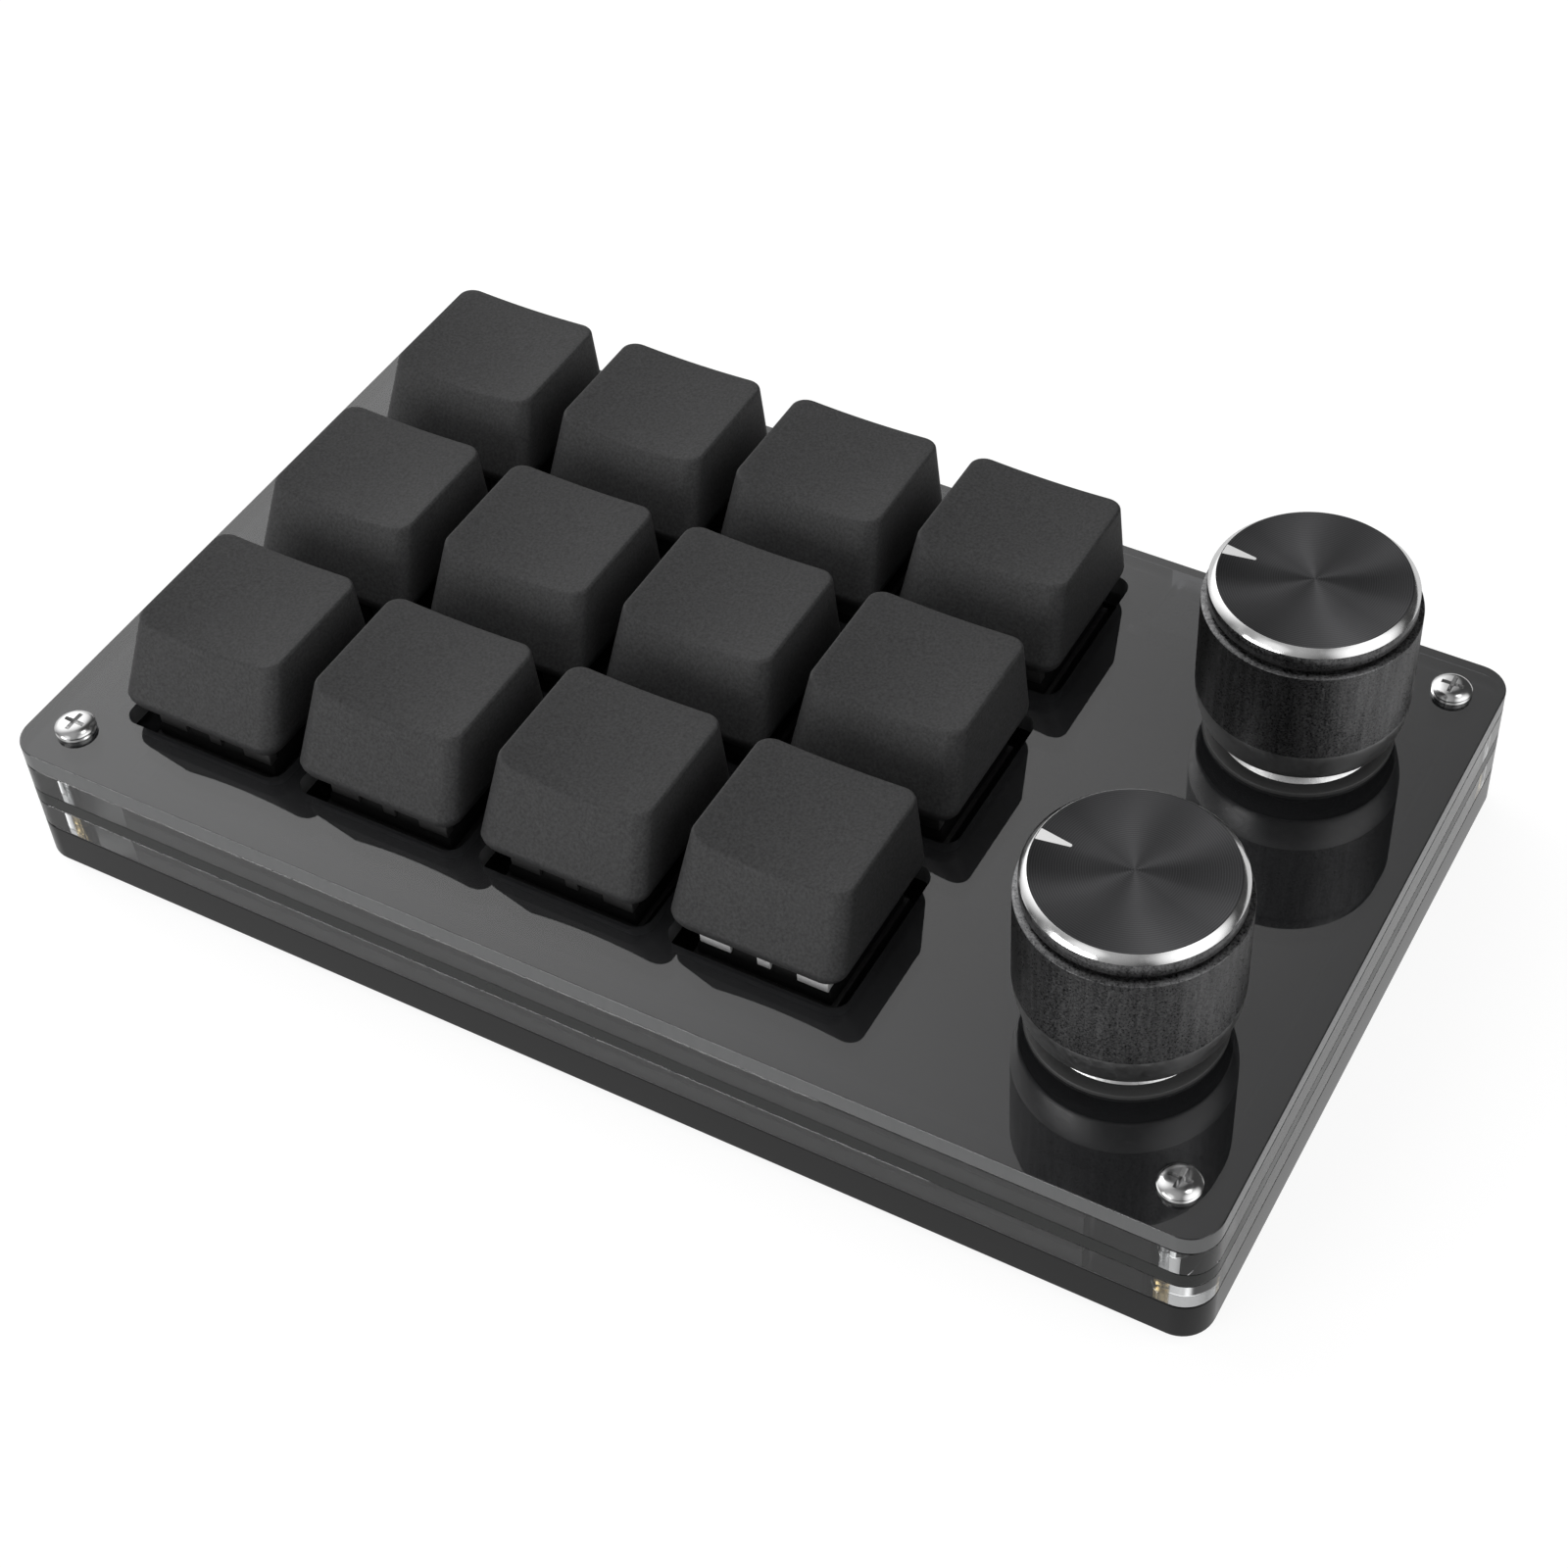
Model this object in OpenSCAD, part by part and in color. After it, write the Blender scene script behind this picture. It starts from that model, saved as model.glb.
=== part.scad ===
// Macro keypad with twelve sprung keys and two rotary knobs in a case of stacked sheets.
// Millimetres, +Z up. The origin is the middle of the footprint, level with the feet's undersides.
// The front edge faces -Y and the knobs stand on the +X side.

/* [Case] */
// Width of the case, left to right
case_w = 118; // [114:1:140]
// Depth of the case, front to back
case_d = 69; // [68:1:90]
// Radius of the case's upright corner edges
corner_r = 3; // [1:0.5:4]
// Height of the rubber feet
foot_h = 1.2; // [0.8:0.1:4]
// Radius of the rubber feet
foot_r = 4; // [3:0.5:7]
// Distance from a foot's centre to the case's edges
foot_inset = 9; // [7.5:0.5:14]
// Thickness of the solid bottom plate
bottom_t = 4.4; // [3.6:0.2:8]
// Thickness of the clear frame under the circuit board
lower_t = 3; // [2.4:0.2:6]
// Thickness of the circuit board
board_t = 1.6; // [1:0.2:2.4]
// Thickness of the clear frame above the circuit board
upper_t = 3; // [3:0.2:4.4]
// Thickness of the smoky top plate
plate_t = 2; // [1.6:0.1:3]
// Wall of the clear frames at the front and back
wall_y = 3.2; // [2:0.2:3.8]
// Wall of the clear frames at the left and right
wall_x = 3.2; // [2:0.2:5]
// Depth of the solid blocks that the corner screws pass through
block_d = 8.4; // [7.2:0.2:10]
// Width of the two front corner blocks
front_block_w = 11.2; // [7.2:0.2:14]
// Width of the two back corner blocks
back_block_w = 8.6; // [7.2:0.2:12]

/* [Corner screws] */
// Distance from a screw's axis to the case's edges
screw_inset = 4.5; // [4:0.1:5.4]
// Radius of a screw's shank
screw_r = 1; // [0.8:0.05:1.2]
// Radius of a screw's head
head_r = 2; // [1.8:0.1:2.6]
// Height of a screw's head
head_h = 1.4; // [1:0.1:2]
// Length of a screw's shank
screw_len = 10.6; // [9.8:0.2:11.2]
// Outer radius of a brass insert
insert_r = 1.6; // [1.5:0.1:2.2]
// Depth of an insert's seat in the bottom plate
insert_seat = 2; // [1:0.2:2.6]

/* [Key layout] */
// Gap between neighbouring caps in a row
column_gap = 2.35; // [1.4:0.05:3.3]
// Gap between the caps of neighbouring rows
row_gap = 3.6; // [1.7:0.1:4.1]
// Distance from the case's left edge to the first column's axis
first_column = 16; // [15.6:0.1:17.6]
// Distance from the case's back edge to the back row's axis
first_row = 12.8; // [12.4:0.1:13.6]

/* [Keycaps] */
// Width of a cap at its widest ring
cap_w = 16.7; // [16.2:0.1:17.2]
// Depth of a cap at its widest ring
cap_d = 16.5; // [16.2:0.1:17]
// Width of a cap's top face
cap_top_w = 15.3; // [14:0.1:15.6]
// Depth of a cap's top face
cap_top_d = 13; // [11.8:0.1:13.2]
// Shift of a cap's top face towards the back
cap_lean = 1.7; // [0.8:0.05:1.8]
// Height of a cap from its lip to its top
cap_h = 8.3; // [7.9:0.1:10]
// Height of a cap's widest ring above its lip
lip_h = 1.3; // [0.8:0.1:1.6]
// Amount that the lip turns in
lip_in = 0.45; // [0.2:0.05:0.6]
// Gap between a cap's lip and the top plate when the key is up
lip_gap = 1.7; // [1.4:0.1:2.4]
// Wall of a cap
cap_wall = 1.3; // [1.1:0.05:1.4]
// Radius of the dish in a cap's top
dish_r = 40; // [24:1:60]
// Depth of the dish at its middle
dish_depth = 0.55; // [0.4:0.05:0.8]
// Slope of the dish in degrees, deeper at the cap's front
dish_tilt = 2.2; // [0:0.1:3]
// Clearance between a cap and its opening in the top plate
cap_gap = 0.3; // [0.25:0.05:0.5]

/* [Switches] */
// Travel of a key from up to fully pressed
travel = 3; // [2:0.1:3]
// Width of a switch's square base
base_w = 13.8; // [13.4:0.1:14]
// Height of a switch's base
base_h = 2.2; // [2:0.1:2.4]
// Thickness of the base's floor
base_floor = 0.8; // [0.6:0.1:1]
// Height of a whole switch housing above the board
switch_h = 6; // [5.8:0.1:6.2]
// Width of the cover where it meets the base
cover_w = 13; // [12.8:0.1:13]
// Height over which the cover's sides stand straight
cover_straight = 1; // [0.6:0.1:1.2]
// Width of the cover's top
cover_top_w = 10.6; // [10.2:0.1:11]
// Depth of the cover's top
cover_top_d = 10.2; // [9.8:0.1:10.4]
// Width of the square hollow inside a switch
hollow_w = 10.8; // [10.4:0.1:11]
// Thickness of the cover's roof
roof_t = 1; // [0.8:0.1:1.2]
// Width of the sliding stem
stem_w = 7; // [6.4:0.1:7.4]
// Depth of the sliding stem
stem_d = 5.4; // [5:0.1:5.8]
// Clearance between the stem and the cover on each side
stem_gap = 0.1; // [0.05:0.01:0.2]
// Height that the stem's block stands above the cover when the key is up
stem_rise = 1.4; // [1:0.1:1.8]
// Width of the stem's stop flange
flange_w = 9; // [8.4:0.1:9.4]
// Depth of the stem's stop flange
flange_d = 6.6; // [6.2:0.1:7.4]
// Thickness of the stem's stop flange
flange_t = 0.9; // [0.6:0.1:1]
// Length of the cross post's arms
cross_w = 4; // [3.8:0.05:4.2]
// Thickness of the cross post's arms
cross_t = 1.17; // [1:0.01:1.3]
// Outer radius of the cap's boss round the cross post
boss_r = 2.8; // [2.7:0.05:3.2]
// Radius of a key spring
spring_r = 1.9; // [1.6:0.05:2]
// Thickness of a key spring's wire
wire_t = 0.4; // [0.2:0.05:0.6]
// Depth of the spring's recess in the stem
recess_h = 1.6; // [1:0.1:1.8]
// Radius of the base's centre peg
peg_r = 1.6; // [1.2:0.1:2]
// Length of the pegs and pins under the board
pin_below = 0.6; // [0.4:0.1:1.2]
// Width of a contact leaf
leaf_w = 3; // [2:0.1:4]
// Radius of a contact's pin
pin_r = 0.45; // [0.3:0.05:0.5]

/* [Knobs] */
// Distance from the case's right edge to the knobs' axes
knob_column = 15.2; // [14:0.1:18]
// Distance from the case's back edge to the back knob's axis
back_knob = 14.65; // [13.6:0.05:16]
// Distance between the two knobs' axes
knob_pitch = 36.5; // [24:0.5:38]
// Outer radius of a knob at its knurled band
knob_r = 9.55; // [9:0.05:11]
// Radius of a knob's bottom edge
knob_foot_r = 8.96; // [8.8:0.02:9]
// Height of a knob's bottom edge above the top plate
knob_lift = 2.8; // [1.4:0.1:4]
// Whole height of a knob
knob_h = 15.4; // [15:0.1:22]
// Height of the smooth tapered band at a knob's bottom
taper_h = 3.2; // [2:0.1:4]
// Height of a knob's bright cap above its groove
rim_h = 2; // [1.6:0.1:2.4]
// Radius of a knob's bright cap
rim_r = 9.07; // [8.8:0.01:9.1]
// Size of the bevel round a knob's top
bevel = 0.65; // [0.3:0.05:0.9]
// Height of the black groove
groove_h = 0.55; // [0.3:0.05:0.8]
// Depth of the black groove below the rim
groove_d = 0.47; // [0.2:0.01:0.6]
// Radius of a knob shell's bore
shell_bore_r = 8.3; // [8:0.05:8.4]
// Thickness of a knob's top wall
knob_roof = 1.9; // [1.4:0.1:2.2]
// Radius of the insert's hub
hub_r = 4.5; // [4:0.1:5.5]
// Outer radius of the trim ring round a knob's hole
trim_r = 8.6; // [8.2:0.05:9]
// Height of the trim ring
trim_h = 0.4; // [0.2:0.05:0.6]
// Radius of the bright collar on the trim ring
collar_base_r = 7.4; // [7:0.05:7.6]
// Height of the collar's sloping face
collar_rise = 0.6; // [0.3:0.05:0.7]
// Radius of the trim ring's bore
trim_bore_r = 6.2; // [5.6:0.05:6.2]

/* [Encoders] */
// Width of an encoder's square body
encoder_w = 11; // [10.8:0.1:11]
// Height of an encoder's body
encoder_h = 4.2; // [4:0.1:4.6]
// Cut across the encoder body's corners
encoder_cut = 1.2; // [1.1:0.1:2]
// Radius of the neck that guides the shaft
neck_r = 3.5; // [3.4:0.05:4]
// Height of the neck above the encoder's body
neck_h = 7; // [5:0.1:7.2]
// Radius of an encoder's shaft
shaft_r = 3; // [2.4:0.05:3]
// Running clearance of the shaft in the neck
shaft_gap = 0.05; // [0.02:0.01:0.1]
// Travel of a knob when it is pushed
push = 0.5; // [0.3:0.05:0.6]
// Gap between the top plate's hole and the encoder's corners
hole_gap = 0.4; // [0.3:0.05:0.5]

/* [Socket] */
// Distance from the last column's switches to the cable socket
socket_space = 4.08; // [3.6:0.02:6]
// Width of the cable socket's shell
socket_w = 8.94; // [8.8:0.02:9.1]
// Height of the cable socket's shell
socket_h = 3.26; // [3.1:0.02:3.4]
// Length of the cable socket's shell
socket_len = 7.3; // [6.6:0.1:8]
// Height of the socket's middle above the board's top face
socket_rise = 0.73; // [0.4:0.01:0.8]
// Wall of the cable socket's shell
socket_wall = 0.3; // [0.2:0.02:0.35]

/* [Hidden] */
COLUMNS = 4;
ROWS = 3;
KEYS = COLUMNS * ROWS;
$fn = 64;
eps = 0.01;

// Levels of the stack, from the feet's undersides up
bottom_z = foot_h;
lower_z = bottom_z + bottom_t;
board_z = lower_z + lower_t;
upper_z = board_z + board_t;
plate_z = upper_z + upper_t;
deck_z = plate_z + plate_t;

// Clearances
screw_gap = 0.15;
insert_gap = 0.04;
thread_gap = 0.02;
seat_gap = 0.02;
part_gap = 0.1;
press_gap = 0.2;
pocket_gap = 0.4;

// Levels inside a switch when the key is up
cover_z = upper_z + base_h;
switch_top = upper_z + switch_h;
floor_z = upper_z + base_floor;
hollow_top = switch_top - roof_t;
flange_top = hollow_top - part_gap;
stem_z = floor_z + travel + press_gap;
block_top = switch_top + stem_rise;

// Contact leaves: distance from the switch's axis, thickness, and level of the lower end
leaf_inset = 0.25;
leaf_x = hollow_w / 2 - leaf_inset;
leaf_t = 0.2;
leaf_z = floor_z + part_gap;

// Levels of a keycap when the key is up
lip_z = deck_z + lip_gap;
ring_z = lip_z + lip_h;
cap_top = lip_z + cap_h;
boss_z = switch_top + travel + press_gap;
ceiling_z = cap_top - dish_depth - cap_wall - press_gap;
post_top = ceiling_z - press_gap;

// Places of the keys, back row first and left to right
column_pitch = cap_w + column_gap;
row_pitch = cap_d + row_gap;
function key_x(i) = -case_w / 2 + first_column + column_pitch * (i % COLUMNS);
function key_y(i) = case_d / 2 - first_row - row_pitch * floor(i / COLUMNS);
KEY_PLACES = [for (i = [0:KEYS - 1]) [key_x(i), key_y(i)]];

// Places of the knobs, back one first
knob_x = case_w / 2 - knob_column;
knob_y = case_d / 2 - back_knob;
KNOB_PLACES = [[knob_x, knob_y], [knob_x, knob_y - knob_pitch]];

// Levels and radii of a knob and its encoder
encoder_top = upper_z + encoder_h;
neck_top = encoder_top + neck_h;
knob_z = deck_z + knob_lift;
knob_top = knob_z + knob_h;
groove_top = knob_top - rim_h;
knurl_top = groove_top - groove_h;
roof_z = knob_top - knob_roof;
plate_hole_r = norm([encoder_w / 2, encoder_w / 2 - encoder_cut]) + hole_gap;
hub_z = neck_top + push + press_gap + part_gap;
hub_top = roof_z - part_gap;
web_rise = 3.8;
web_z = hub_z + web_rise;
web_t = 2;
flat_rise = 0.8;
flat_z = hub_z + flat_rise;
flat_x = shaft_r / 2;
shaft_end_gap = 0.5;
shaft_top = hub_top - shaft_end_gap;
cavity_r = 4;
cavity_floor = 0.6;
collar_r = 3.6;
collar_t = 0.9;
case_roof = 0.4;
collar_top = encoder_top - case_roof - part_gap;
collar_z = collar_top - collar_t;
plunger_r = 2.6;
plunger_t = 0.8;
plunger_pin_r = 1;

// Places and levels of the cable socket
socket_x = key_x(COLUMNS - 1) + base_w / 2 + socket_space + socket_w / 2;
socket_z = upper_z + socket_rise;
tab_w = 1.8;
tab_len = 4.2;
tab_t = 0.3;

// Four places at one distance from the case's edges
function corner_places(inset) = [
    for (x = [-1, 1], y = [-1, 1]) [x * (case_w / 2 - inset), y * (case_d / 2 - inset)]];
SCREW_PLACES = corner_places(screw_inset);
FOOT_PLACES = corner_places(foot_inset);
insert_z = lower_z - insert_seat;
insert_h = board_z - insert_z;

CASE_NODES = ["bottom_plate", "lower_frame", "circuit_board", "upper_frame", "top_plate", "corner_screws",
    "brass_inserts", "rubber_feet", "usb_socket", "controller_chip", "switch_bases", "switch_covers",
    "switch_contacts", "trim_rings"];
KEY_NODES = [for (i = [1:KEYS], piece = ["keycap", "key_stem", "key_spring"]) str(piece, "_", i)];
SIDES = ["back", "front"];
KNOB_NODES = [for (side = SIDES, piece = ["encoder_body", "encoder_plunger", "encoder_shaft", "knob_shell",
    "knob_insert"]) str(piece, "_", side)];

// A copy of the children at each place
module at_each(places) {
    for (p = places) translate([p[0], p[1], 0]) children();
}

// A block centred in plan
module block(w, d, h) {
    translate([-w / 2, -d / 2, 0]) cube([w, d, h]);
}

// A sheet with four round corners, centred in plan
module sheet(w, d, h, r) {
    block(w - 2 * r, d, h);
    block(w, d - 2 * r, h);
    for (x = [-1, 1], y = [-1, 1]) translate([x * (w / 2 - r), y * (d / 2 - r), 0]) cylinder(h = h, r = r);
}

// The hollow inside a clear frame: the window, less the corner blocks, with room for the parts on the board
module frame_window(h) {
    difference() {
        block(case_w - 2 * wall_x, case_d - 2 * wall_y, h);
        for (x = [-1, 1]) {
            translate([x * case_w / 2, -case_d / 2, -eps]) block(2 * front_block_w, 2 * block_d, h + 2 * eps);
            translate([x * case_w / 2, case_d / 2, -eps]) block(2 * back_block_w, 2 * block_d, h + 2 * eps);
        }
    }
    at_each(KEY_PLACES) block(base_w + 2 * pocket_gap, base_w + 2 * pocket_gap, h);
    at_each(KNOB_PLACES) block(encoder_w + 2 * pocket_gap, encoder_w + 2 * pocket_gap, h);
}

// The four corner holes through a sheet of thickness t that lies at z
module screw_holes(z, t, r) {
    at_each(SCREW_PLACES) translate([0, 0, z - 1]) cylinder(h = t + 2, r = r);
}

module bottom_plate() {
    color("#16171a") difference() {
        translate([0, 0, bottom_z]) sheet(case_w, case_d, bottom_t, corner_r);
        at_each(SCREW_PLACES) translate([0, 0, insert_z]) {
            cylinder(h = insert_seat + 1, r = insert_r + thread_gap);
        }
    }
}

module lower_frame() {
    color("#c9d2d6", 0.45) difference() {
        translate([0, 0, lower_z]) sheet(case_w, case_d, lower_t, corner_r);
        translate([0, 0, lower_z - 1]) frame_window(lower_t + 2);
        screw_holes(lower_z, lower_t, insert_r + insert_gap);
    }
}

module circuit_board() {
    color("#1c211f") difference() {
        translate([0, 0, board_z]) sheet(case_w, case_d, board_t, corner_r);
        screw_holes(board_z, board_t, screw_r + screw_gap);
        at_each(KEY_PLACES) translate([0, 0, board_z - 1]) {
            cylinder(h = board_t + 2, r = peg_r + part_gap);
            for (x = [-1, 1]) translate([x * leaf_x, 0, 0]) cylinder(h = board_t + 2, r = pin_r + part_gap);
        }
        socket_notch(board_z - 1, board_t + 2);
    }
}

module upper_frame() {
    color("#c9d2d6", 0.45) difference() {
        translate([0, 0, upper_z]) sheet(case_w, case_d, upper_t, corner_r);
        translate([0, 0, upper_z - 1]) frame_window(upper_t + 2);
        screw_holes(upper_z, upper_t, screw_r + screw_gap);
        socket_notch(upper_z - 1, upper_t + 2);
    }
}

module top_plate() {
    opening_r = 1.5;
    color("#34363b", 0.8) difference() {
        translate([0, 0, plate_z]) sheet(case_w, case_d, plate_t, corner_r);
        at_each(KEY_PLACES) translate([0, 0, plate_z - 1]) {
            sheet(cap_w + 2 * cap_gap, cap_d + 2 * cap_gap, plate_t + 2, opening_r);
        }
        at_each(KNOB_PLACES) translate([0, 0, plate_z - 1]) cylinder(h = plate_t + 2, r = plate_hole_r);
        screw_holes(plate_z, plate_t, screw_r + screw_gap);
    }
}

module corner_screws() {
    dome_r = 2.1 * head_r;
    recess_w = 1.1 * head_r;
    recess_t = 0.5;
    recess_depth = 0.8;
    color("#c4c6c8") at_each(SCREW_PLACES) {
        translate([0, 0, deck_z - screw_len]) cylinder(h = screw_len, r = screw_r);
        difference() {
            intersection() {
                translate([0, 0, deck_z]) cylinder(h = head_h, r = head_r);
                translate([0, 0, deck_z + head_h - dome_r]) sphere(r = dome_r);
            }
            translate([0, 0, deck_z + head_h - recess_depth]) {
                block(recess_w, recess_t, 1);
                block(recess_t, recess_w, 1);
            }
        }
    }
}

module brass_inserts() {
    color("#b8923e") at_each(SCREW_PLACES) translate([0, 0, insert_z]) difference() {
        cylinder(h = insert_h, r = insert_r);
        translate([0, 0, -1]) cylinder(h = insert_h + 2, r = screw_r + thread_gap);
    }
}

module rubber_feet() {
    color("#202020") at_each(FOOT_PLACES) cylinder(h = foot_h, r = foot_r);
}

// The cut that lets the cable socket into the board and the upper frame
module socket_notch(z, h) {
    notch_w = socket_w + 2 * part_gap;
    translate([socket_x, case_d / 2, z]) block(notch_w, 2 * (socket_len + part_gap), h);
}

// A flat-sided tube's outline with round ends, standing on its end along the Y axis
module socket_bar(w, h, len) {
    rotate([90, 0, 0]) {
        block_w = w - h;
        translate([-block_w / 2, -h / 2, 0]) cube([block_w, h, len]);
        for (x = [-1, 1]) translate([x * block_w / 2, 0, 0]) cylinder(h = len, r = h / 2);
    }
}

module usb_socket() {
    tongue_w = 6.7;
    tongue_t = 0.7;
    back_wall = 0.8;
    color("#aeb1b4") translate([socket_x, case_d / 2, socket_z]) {
        difference() {
            socket_bar(socket_w, socket_h, socket_len);
            translate([0, 1, 0]) {
                inner_len = socket_len - back_wall + 1;
                socket_bar(socket_w - 2 * socket_wall, socket_h - 2 * socket_wall, inner_len);
            }
        }
        translate([-tongue_w / 2, -socket_len + back_wall / 2, -tongue_t / 2]) {
            cube([tongue_w, socket_len - back_wall / 2 - 0.6, tongue_t]);
        }
        for (x = [-1, 1]) {
            tab_x = socket_w / 2 + tab_w / 2 - socket_wall / 2;
            translate([x * tab_x, -socket_len + tab_len / 2, -socket_rise]) {
                block(tab_w + socket_wall, tab_len - 1, tab_t);
            }
        }
    }
}

module controller_chip() {
    chip_w = 7;
    chip_t = 1.2;
    chip_inset = 24.5;
    chip_y = case_d / 2 - chip_inset;
    color("#101112") translate([socket_x, chip_y, board_z - chip_t]) block(chip_w, chip_w, chip_t);
}

module switch_bases() {
    color("#2b2c2e") at_each(KEY_PLACES) difference() {
        union() {
            translate([0, 0, upper_z]) block(base_w, base_w, base_h);
            translate([0, 0, board_z - pin_below]) cylinder(h = board_t + pin_below + eps, r = peg_r);
        }
        translate([0, 0, floor_z]) block(hollow_w, hollow_w, base_h);
        for (x = [-1, 1]) translate([x * leaf_x, 0, upper_z - 1]) {
            cylinder(h = leaf_z + 2 * part_gap - upper_z + 1, r = pin_r + part_gap);
        }
    }
}

// One side view of the cover's tapered box, drawn across x and up
function cover_outline(half_bottom, half_top) = [
    [-half_bottom, 0], [half_bottom, 0], [half_bottom, cover_straight],
    [half_top, switch_top - cover_z], [-half_top, switch_top - cover_z], [-half_bottom, cover_straight]];

// A tapered box from the cover's foot to its top
module cover_box() {
    side = cover_w + 2;
    intersection() {
        rotate([90, 0, 0]) translate([0, 0, -side / 2]) {
            linear_extrude(side) polygon(cover_outline(cover_w / 2, cover_top_w / 2));
        }
        rotate([90, 0, 90]) translate([0, 0, -side / 2]) {
            linear_extrude(side) polygon(cover_outline(cover_w / 2, cover_top_d / 2));
        }
    }
}

module switch_covers() {
    roof_wall = 0.4;
    flange_room = 0.6;
    roof_hollow_w = cover_top_w - 2 * roof_wall;
    roof_hollow_d = flange_d + 2 * flange_room;
    color("#8e9194") at_each(KEY_PLACES) difference() {
        translate([0, 0, cover_z]) cover_box();
        translate([0, 0, cover_z - 1]) block(hollow_w, hollow_w, 1 + cover_straight);
        translate([0, 0, cover_z]) block(roof_hollow_w, roof_hollow_d, hollow_top - cover_z);
        translate([0, 0, cover_z]) block(stem_w + 2 * stem_gap, stem_d + 2 * stem_gap, switch_h);
    }
}

module switch_contacts() {
    leaf_h = cover_z + cover_straight - leaf_z - part_gap;
    foot_z = board_z - pin_below;
    color("#c8a24a") at_each(KEY_PLACES) for (x = [-1, 1]) translate([x * leaf_x, 0, 0]) {
        translate([0, 0, leaf_z]) block(leaf_t, leaf_w, leaf_h);
        translate([0, 0, foot_z]) cylinder(h = leaf_z + part_gap - foot_z, r = pin_r);
    }
}

module trim_rings() {
    color("#c9cbcc") at_each(KNOB_PLACES) translate([0, 0, deck_z]) difference() {
        union() {
            cylinder(h = trim_h, r = trim_r);
            cylinder(h = trim_h + collar_rise, r1 = collar_base_r + trim_h, r2 = collar_base_r - collar_rise);
        }
        translate([0, 0, -1]) cylinder(h = trim_h + collar_rise + 2, r = trim_bore_r);
    }
}

// A flat rounded ring of a keycap, used to build its skin
module cap_ring(w, d, r, shift, z) {
    translate([0, shift, z]) for (x = [-1, 1], y = [-1, 1]) {
        translate([x * (w / 2 - r), y * (d / 2 - r), 0]) cylinder(h = eps, r = r, $fn = 24);
    }
}

// A cap's leaning box; inset moves its walls in and its top down
module cap_box(inset, top) {
    lip_corner = 1.5 - inset / 2;
    ring_corner = 1.8 - inset / 2;
    top_corner = 1.6 - inset / 2;
    share = (top - ring_z) / (cap_top - ring_z);
    w_here = cap_w + (cap_top_w - cap_w) * share;
    d_here = cap_d + (cap_top_d - cap_d) * share;
    hull() {
        cap_ring(cap_w - 2 * lip_in - 2 * inset, cap_d - 2 * lip_in - 2 * inset, lip_corner, 0, lip_z);
        cap_ring(cap_w - 2 * inset, cap_d - 2 * inset, ring_corner, 0, ring_z);
        cap_ring(w_here - 2 * inset, d_here - 2 * inset, top_corner, cap_lean * share, top - eps);
    }
}

module keycap(i) {
    cross_gap = 0.05;
    color("#2a2b2d") translate([key_x(i), key_y(i), 0]) {
        difference() {
            cap_box(0, cap_top);
            difference() {
                translate([0, 0, -eps]) cap_box(cap_wall, ceiling_z);
                translate([0, 0, boss_z]) cylinder(h = cap_h, r = boss_r);
            }
            translate([0, cap_lean, cap_top - dish_depth + dish_r]) rotate([90 + dish_tilt, 0, 0]) {
                cylinder(h = 3 * cap_d, r = dish_r, center = true, $fn = 128);
            }
            translate([0, 0, boss_z - 1]) {
                block(cross_w + 2 * cross_gap, cross_t + 2 * cross_gap, ceiling_z - boss_z + 1);
                block(cross_t + 2 * cross_gap, cross_w + 2 * cross_gap, ceiling_z - boss_z + 1);
            }
        }
    }
}

module key_stem(i) {
    color("#55585b") translate([key_x(i), key_y(i), 0]) {
        difference() {
            union() {
                translate([0, 0, stem_z]) block(stem_w, stem_d, block_top - stem_z);
                translate([0, 0, flange_top - flange_t]) block(flange_w, flange_d, flange_t);
            }
            translate([0, 0, stem_z - 1]) cylinder(h = recess_h + 1, r = spring_r + press_gap);
        }
        translate([0, 0, block_top]) {
            block(cross_w, cross_t, post_top - block_top);
            block(cross_t, cross_w, post_top - block_top);
        }
    }
}

module key_spring(i) {
    spring_h = stem_z + recess_h - floor_z;
    color("#b9bcbe") translate([key_x(i), key_y(i), floor_z]) difference() {
        cylinder(h = spring_h, r = spring_r);
        translate([0, 0, -1]) cylinder(h = spring_h + 2, r = spring_r - wire_t);
    }
}

module encoder_body(k) {
    half = encoder_w / 2;
    cut = half - encoder_cut;
    body_outline = [[half, cut], [cut, half], [-cut, half], [-half, cut],
        [-half, -cut], [-cut, -half], [cut, -half], [half, -cut]];
    color("#7d8083") translate([KNOB_PLACES[k][0], KNOB_PLACES[k][1], 0]) difference() {
        union() {
            translate([0, 0, upper_z]) linear_extrude(encoder_h) polygon(body_outline);
            translate([0, 0, encoder_top]) cylinder(h = neck_h, r = neck_r);
        }
        translate([0, 0, upper_z + cavity_floor]) cylinder(h = collar_top + part_gap - upper_z - cavity_floor,
            r = cavity_r);
        translate([0, 0, upper_z + 1]) cylinder(h = neck_top - upper_z, r = shaft_r + shaft_gap);
    }
}

module encoder_plunger(k) {
    pin_z = upper_z + cavity_floor + push + press_gap;
    color("#3a3b3d") translate([KNOB_PLACES[k][0], KNOB_PLACES[k][1], 0]) {
        translate([0, 0, collar_z - plunger_t]) cylinder(h = plunger_t, r = plunger_r);
        translate([0, 0, pin_z]) cylinder(h = collar_z - pin_z - eps, r = plunger_pin_r);
    }
}

module encoder_shaft(k) {
    color("#a9acae") translate([KNOB_PLACES[k][0], KNOB_PLACES[k][1], 0]) difference() {
        union() {
            translate([0, 0, collar_z]) cylinder(h = collar_t, r = collar_r);
            translate([0, 0, collar_z]) cylinder(h = shaft_top - collar_z, r = shaft_r);
        }
        translate([flat_x, -shaft_r - 1, flat_z]) cube([shaft_r, 2 * shaft_r + 2, shaft_top]);
    }
}

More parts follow.
